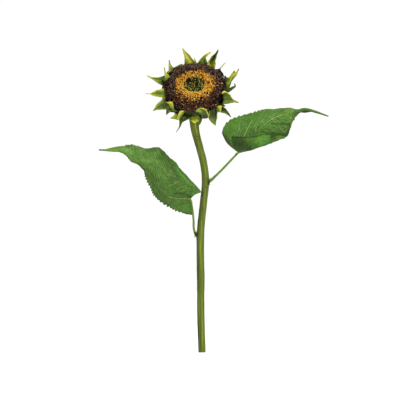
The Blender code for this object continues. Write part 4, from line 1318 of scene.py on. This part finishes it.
def floret_sort(radius, angle):
    """Which sort of floret grows at a place: eye, gold or seed. Some golden ones stray outwards."""
    blur = radius + rng.uniform(-2.5, 2.5)
    edge = gold_reach(angle)
    stray = math.exp(-max(0, radius - edge) / 5.5) * (0.26 + 0.17 * math.cos(angle) - 0.26 * math.sin(angle))
    if (radius + 2 * blur) / 3 < EYE_RADIUS + 4 * max(0, -math.sin(angle)):
        return "eye"
    if blur < edge or rng.random() < stray:
        return "gold"
    return "seed"


# Shares of each colour, in the order of the tables above, for a floret's shade from dark to bright
SEED_SHADES = (0.42, 0.26, 0.32)
GOLD_SHADES = (0.46, 0.16, 0.38)
SEED_RISES = (-0.8, 0, 0.3)  # how far a floret of each shade stands out
GOLD_RISES = (-1, 0, 0.3)
TUBE_DEALS = ((1, 0), (0.6, 0.4), (0, 0.6, 0.4))
LOBE_DEALS = ((0.6, 0.3, 0.1), (0, 0.1, 0.4, 0.5), (0, 0, 0, 0.45, 0.55))
GOLD_THREAD_DEALS = ((0.3, 0.5, 0.2), (0, 0, 0.4, 0.6), (0, 0, 0, 0.3, 0.7))


# rust_and_light deals the lower seeds more rust and warm colours: partly their own colour, partly painted light on
# their shade
def husk_deals(rust_and_light):
    return (0.8, 0.2), (0.2, 0.6, 0, 0, 0, 0.2 + rust_and_light), (0, 0.2, 0.4 - 0.4 * rust_and_light, 0.1, rust_and_light, 0.2 + rust_and_light)


def thread_deals(rust_and_light):
    return (0.8, 0.2), (0.1, 0.5, 0.2, 0, 0, 0.2 + rust_and_light), (0, 0, 0.4 - 0.3 * rust_and_light, 0.35, 0.1 + rust_and_light, rust_and_light)


def disc():
    """The florets on the disc, each thing of a kind in one piece. Rust and orange gather below; the rust and the
    fewer dark seeds there are partly the seeds' own colour and partly painted light that lifts the shade of the lower
    face.
    """
    seed_finishes, gold_finishes, eye_finishes = (
        [plain_finish(*pair) for pair in colours.items()] for colours in (SEED_COLOURS, GOLD_COLOURS, EYE_COLOURS)
    )
    husks = [husk() for _ in range(KINDS)]
    seed_threads = [threads(3) for _ in range(KINDS)]
    tubes = [gold_tube() for _ in range(KINDS)]
    lobes = [gold_lobes() for _ in range(KINDS)]
    gold_threads = [threads(2) for _ in range(KINDS)]
    eye_bud = bud()
    pieces = {
        "seed_husks": (seed_finishes, "seeds", ("seed_disc",)),
        "seed_threads": (seed_finishes, "seeds", ()),
        "gold_tubes": (gold_finishes, "florets", ("floret_ring",)),
        "gold_lobes": (gold_finishes, "florets", ()),
        "gold_threads": (gold_finishes, "florets", ()),
        "eye_buds": (eye_finishes, "eye", ("disc_eye",)),
    }
    placed = {name: [] for name in pieces}
    for floret in floret_places():
        radius, angle, place, _, _, normal = floret
        place = place + normal * rng.uniform(-0.9, 0.5)
        sort = floret_sort(radius, angle)
        size = rng.uniform(0.85, 1.2)
        below = max(0, -math.sin(angle))
        if sort == "eye":
            axes = turned_frame(floret, 0, 0.15)
            pale = smooth_step(18, 22, radius) * below
            deal = dealt((0.52 - 0.4 * pale, 0.3 - 0.1 * pale, 0.18 + 0.5 * pale))
            placed["eye_buds"].append((eye_bud, place + normal * (0.5 * deal - 0.4), axes, size * 0.85, deal))
        elif sort == "gold":
            axes = turned_frame(floret, 0.1, 0.4)
            # lighter deals towards the eye, and painted light at the ring's top and bottom
            brighter = 0.1 * (1 - smooth_step(27, 37, radius)) + 0.08 * abs(math.sin(angle))
            dark, middle, light = GOLD_SHADES
            shade = dealt((dark - brighter, middle, light + brighter))
            place = place + normal * GOLD_RISES[shade]
            kind = rng.choice(tubes)
            placed["gold_tubes"].append((kind, place, axes, size, dealt(TUBE_DEALS[shade])))
            deal = dealt(LOBE_DEALS[shade])
            placed["gold_lobes"].append((rng.choice(lobes), place, axes, size, deal))
            deal = dealt(GOLD_THREAD_DEALS[shade])
            placed["gold_threads"].append((rng.choice(gold_threads), place + normal, axes, size, deal))
        else:
            axes = turned_frame(floret, 0.15, 0.4)
            left = max(0, -math.cos(angle))
            # painted shade: more dark florets towards the disc's rim at left and right
            rim = smooth_step(54 - 5 * left, 61 - 4 * left, radius) * math.cos(angle) ** 2
            dark, middle, light = SEED_SHADES
            # painted light: fewer dark and more middle florets lower on the face
            shade = dealt((dark + 1.2 * rim - 0.14 * below, middle + 0.14 * below, light * (1 - rim)))
            place = place + normal * SEED_RISES[shade]
            deal = dealt(husk_deals(0.3 * below)[shade])
            placed["seed_husks"].append((rng.choice(husks), place, axes, size * 0.95, deal))
            deal = dealt(thread_deals(0.3 * below)[shade])
            start = place + normal * 0.5
            placed["seed_threads"].append((rng.choice(seed_threads), start, axes, size, deal))
    for name, looks in pieces.items():
        cloud(name, placed[name], *looks)
    disc_bed()


# ---- floor, light and camera ----

FLOOR_SIZE = 40  # metres
WALL_TOP = (0.12, 0.3)  # sines of the elevations between which the walls turn grey
WALL_STRENGTH = 1.02
CEILING = 0.4
KEY_FROM = (0.45, -0.75, 0.95)
KEY_STRENGTH = 3.0
FILL_FROM = (-0.55, -0.9, 0.12)
FILL_STRENGTH = 0.9
LAMP_SPREAD = 35  # degrees
CAMERA_DISTANCE = 30000
PICTURE_WIDTH = 800  # millimetres across the picture at the plant
VIEW_CENTRE = (-4, 305)  # sideways and height of the picture's middle
SENSOR = 36


def studio():
    bpy.ops.mesh.primitive_plane_add(size=FLOOR_SIZE)
    floor = bpy.context.object
    floor.name = "floor"
    pale = Finish("floor_pale", 0.9, 0.1)
    pale.colour(pale.ramp(pale.noise(3, 2), ((0, (300, 300, 300)), (1, (296, 296, 296))), 1.2))
    floor.data.materials.append(pale.material)
    walls()
    add_light("key", KEY_FROM, KEY_STRENGTH)
    add_light("fill", FILL_FROM, FILL_STRENGTH)
    bpy.context.scene.view_settings.view_transform = "Standard"


def walls():
    """A studio whose walls are white round the horizon and grey above."""
    world = bpy.data.worlds.new("studio")
    world.use_nodes = True
    nodes, links = world.node_tree.nodes, world.node_tree.links
    place, split, ramp = (nodes.new("ShaderNode" + kind) for kind in ("TexCoord", "SeparateXYZ", "ValToRGB"))
    background = nodes["Background"]
    links.new(place.outputs["Generated"], split.inputs["Vector"])
    links.new(split.outputs["Z"], ramp.inputs["Fac"])
    links.new(ramp.outputs["Color"], background.inputs["Color"])
    low, high = ramp.color_ramp.elements
    low.position, low.color = WALL_TOP[0], (1, 1, 1, 1)
    high.position, high.color = WALL_TOP[1], (CEILING, CEILING, CEILING, 1)
    background.inputs["Strength"].default_value = WALL_STRENGTH
    bpy.context.scene.world = world


def add_object(name, data, rotation):
    holder = bpy.data.objects.new(name, data)
    holder.rotation_euler = rotation
    bpy.context.scene.collection.objects.link(holder)
    return holder


def add_light(name, comes_from, strength):
    lamp = bpy.data.lights.new(name, "SUN")
    lamp.angle = math.radians(LAMP_SPREAD)
    lamp.energy = strength
    add_object(name, lamp, (-Vector(comes_from)).to_track_quat("-Z", "Y").to_euler())


def camera():
    eye = bpy.data.cameras.new("camera")
    eye.sensor_width = SENSOR
    eye.lens = SENSOR * CAMERA_DISTANCE / PICTURE_WIDTH
    eye.clip_end = 100
    holder = add_object("camera", eye, (math.radians(90), 0, 0))
    holder.location = Vector((VIEW_CENTRE[0], -CAMERA_DISTANCE, VIEW_CENTRE[1])) * MM
    bpy.context.scene.camera = holder


def main():
    for step in (camera, studio, stem, stalks, leaves, scars, receptacle, disc, bracts):
        step()


main()
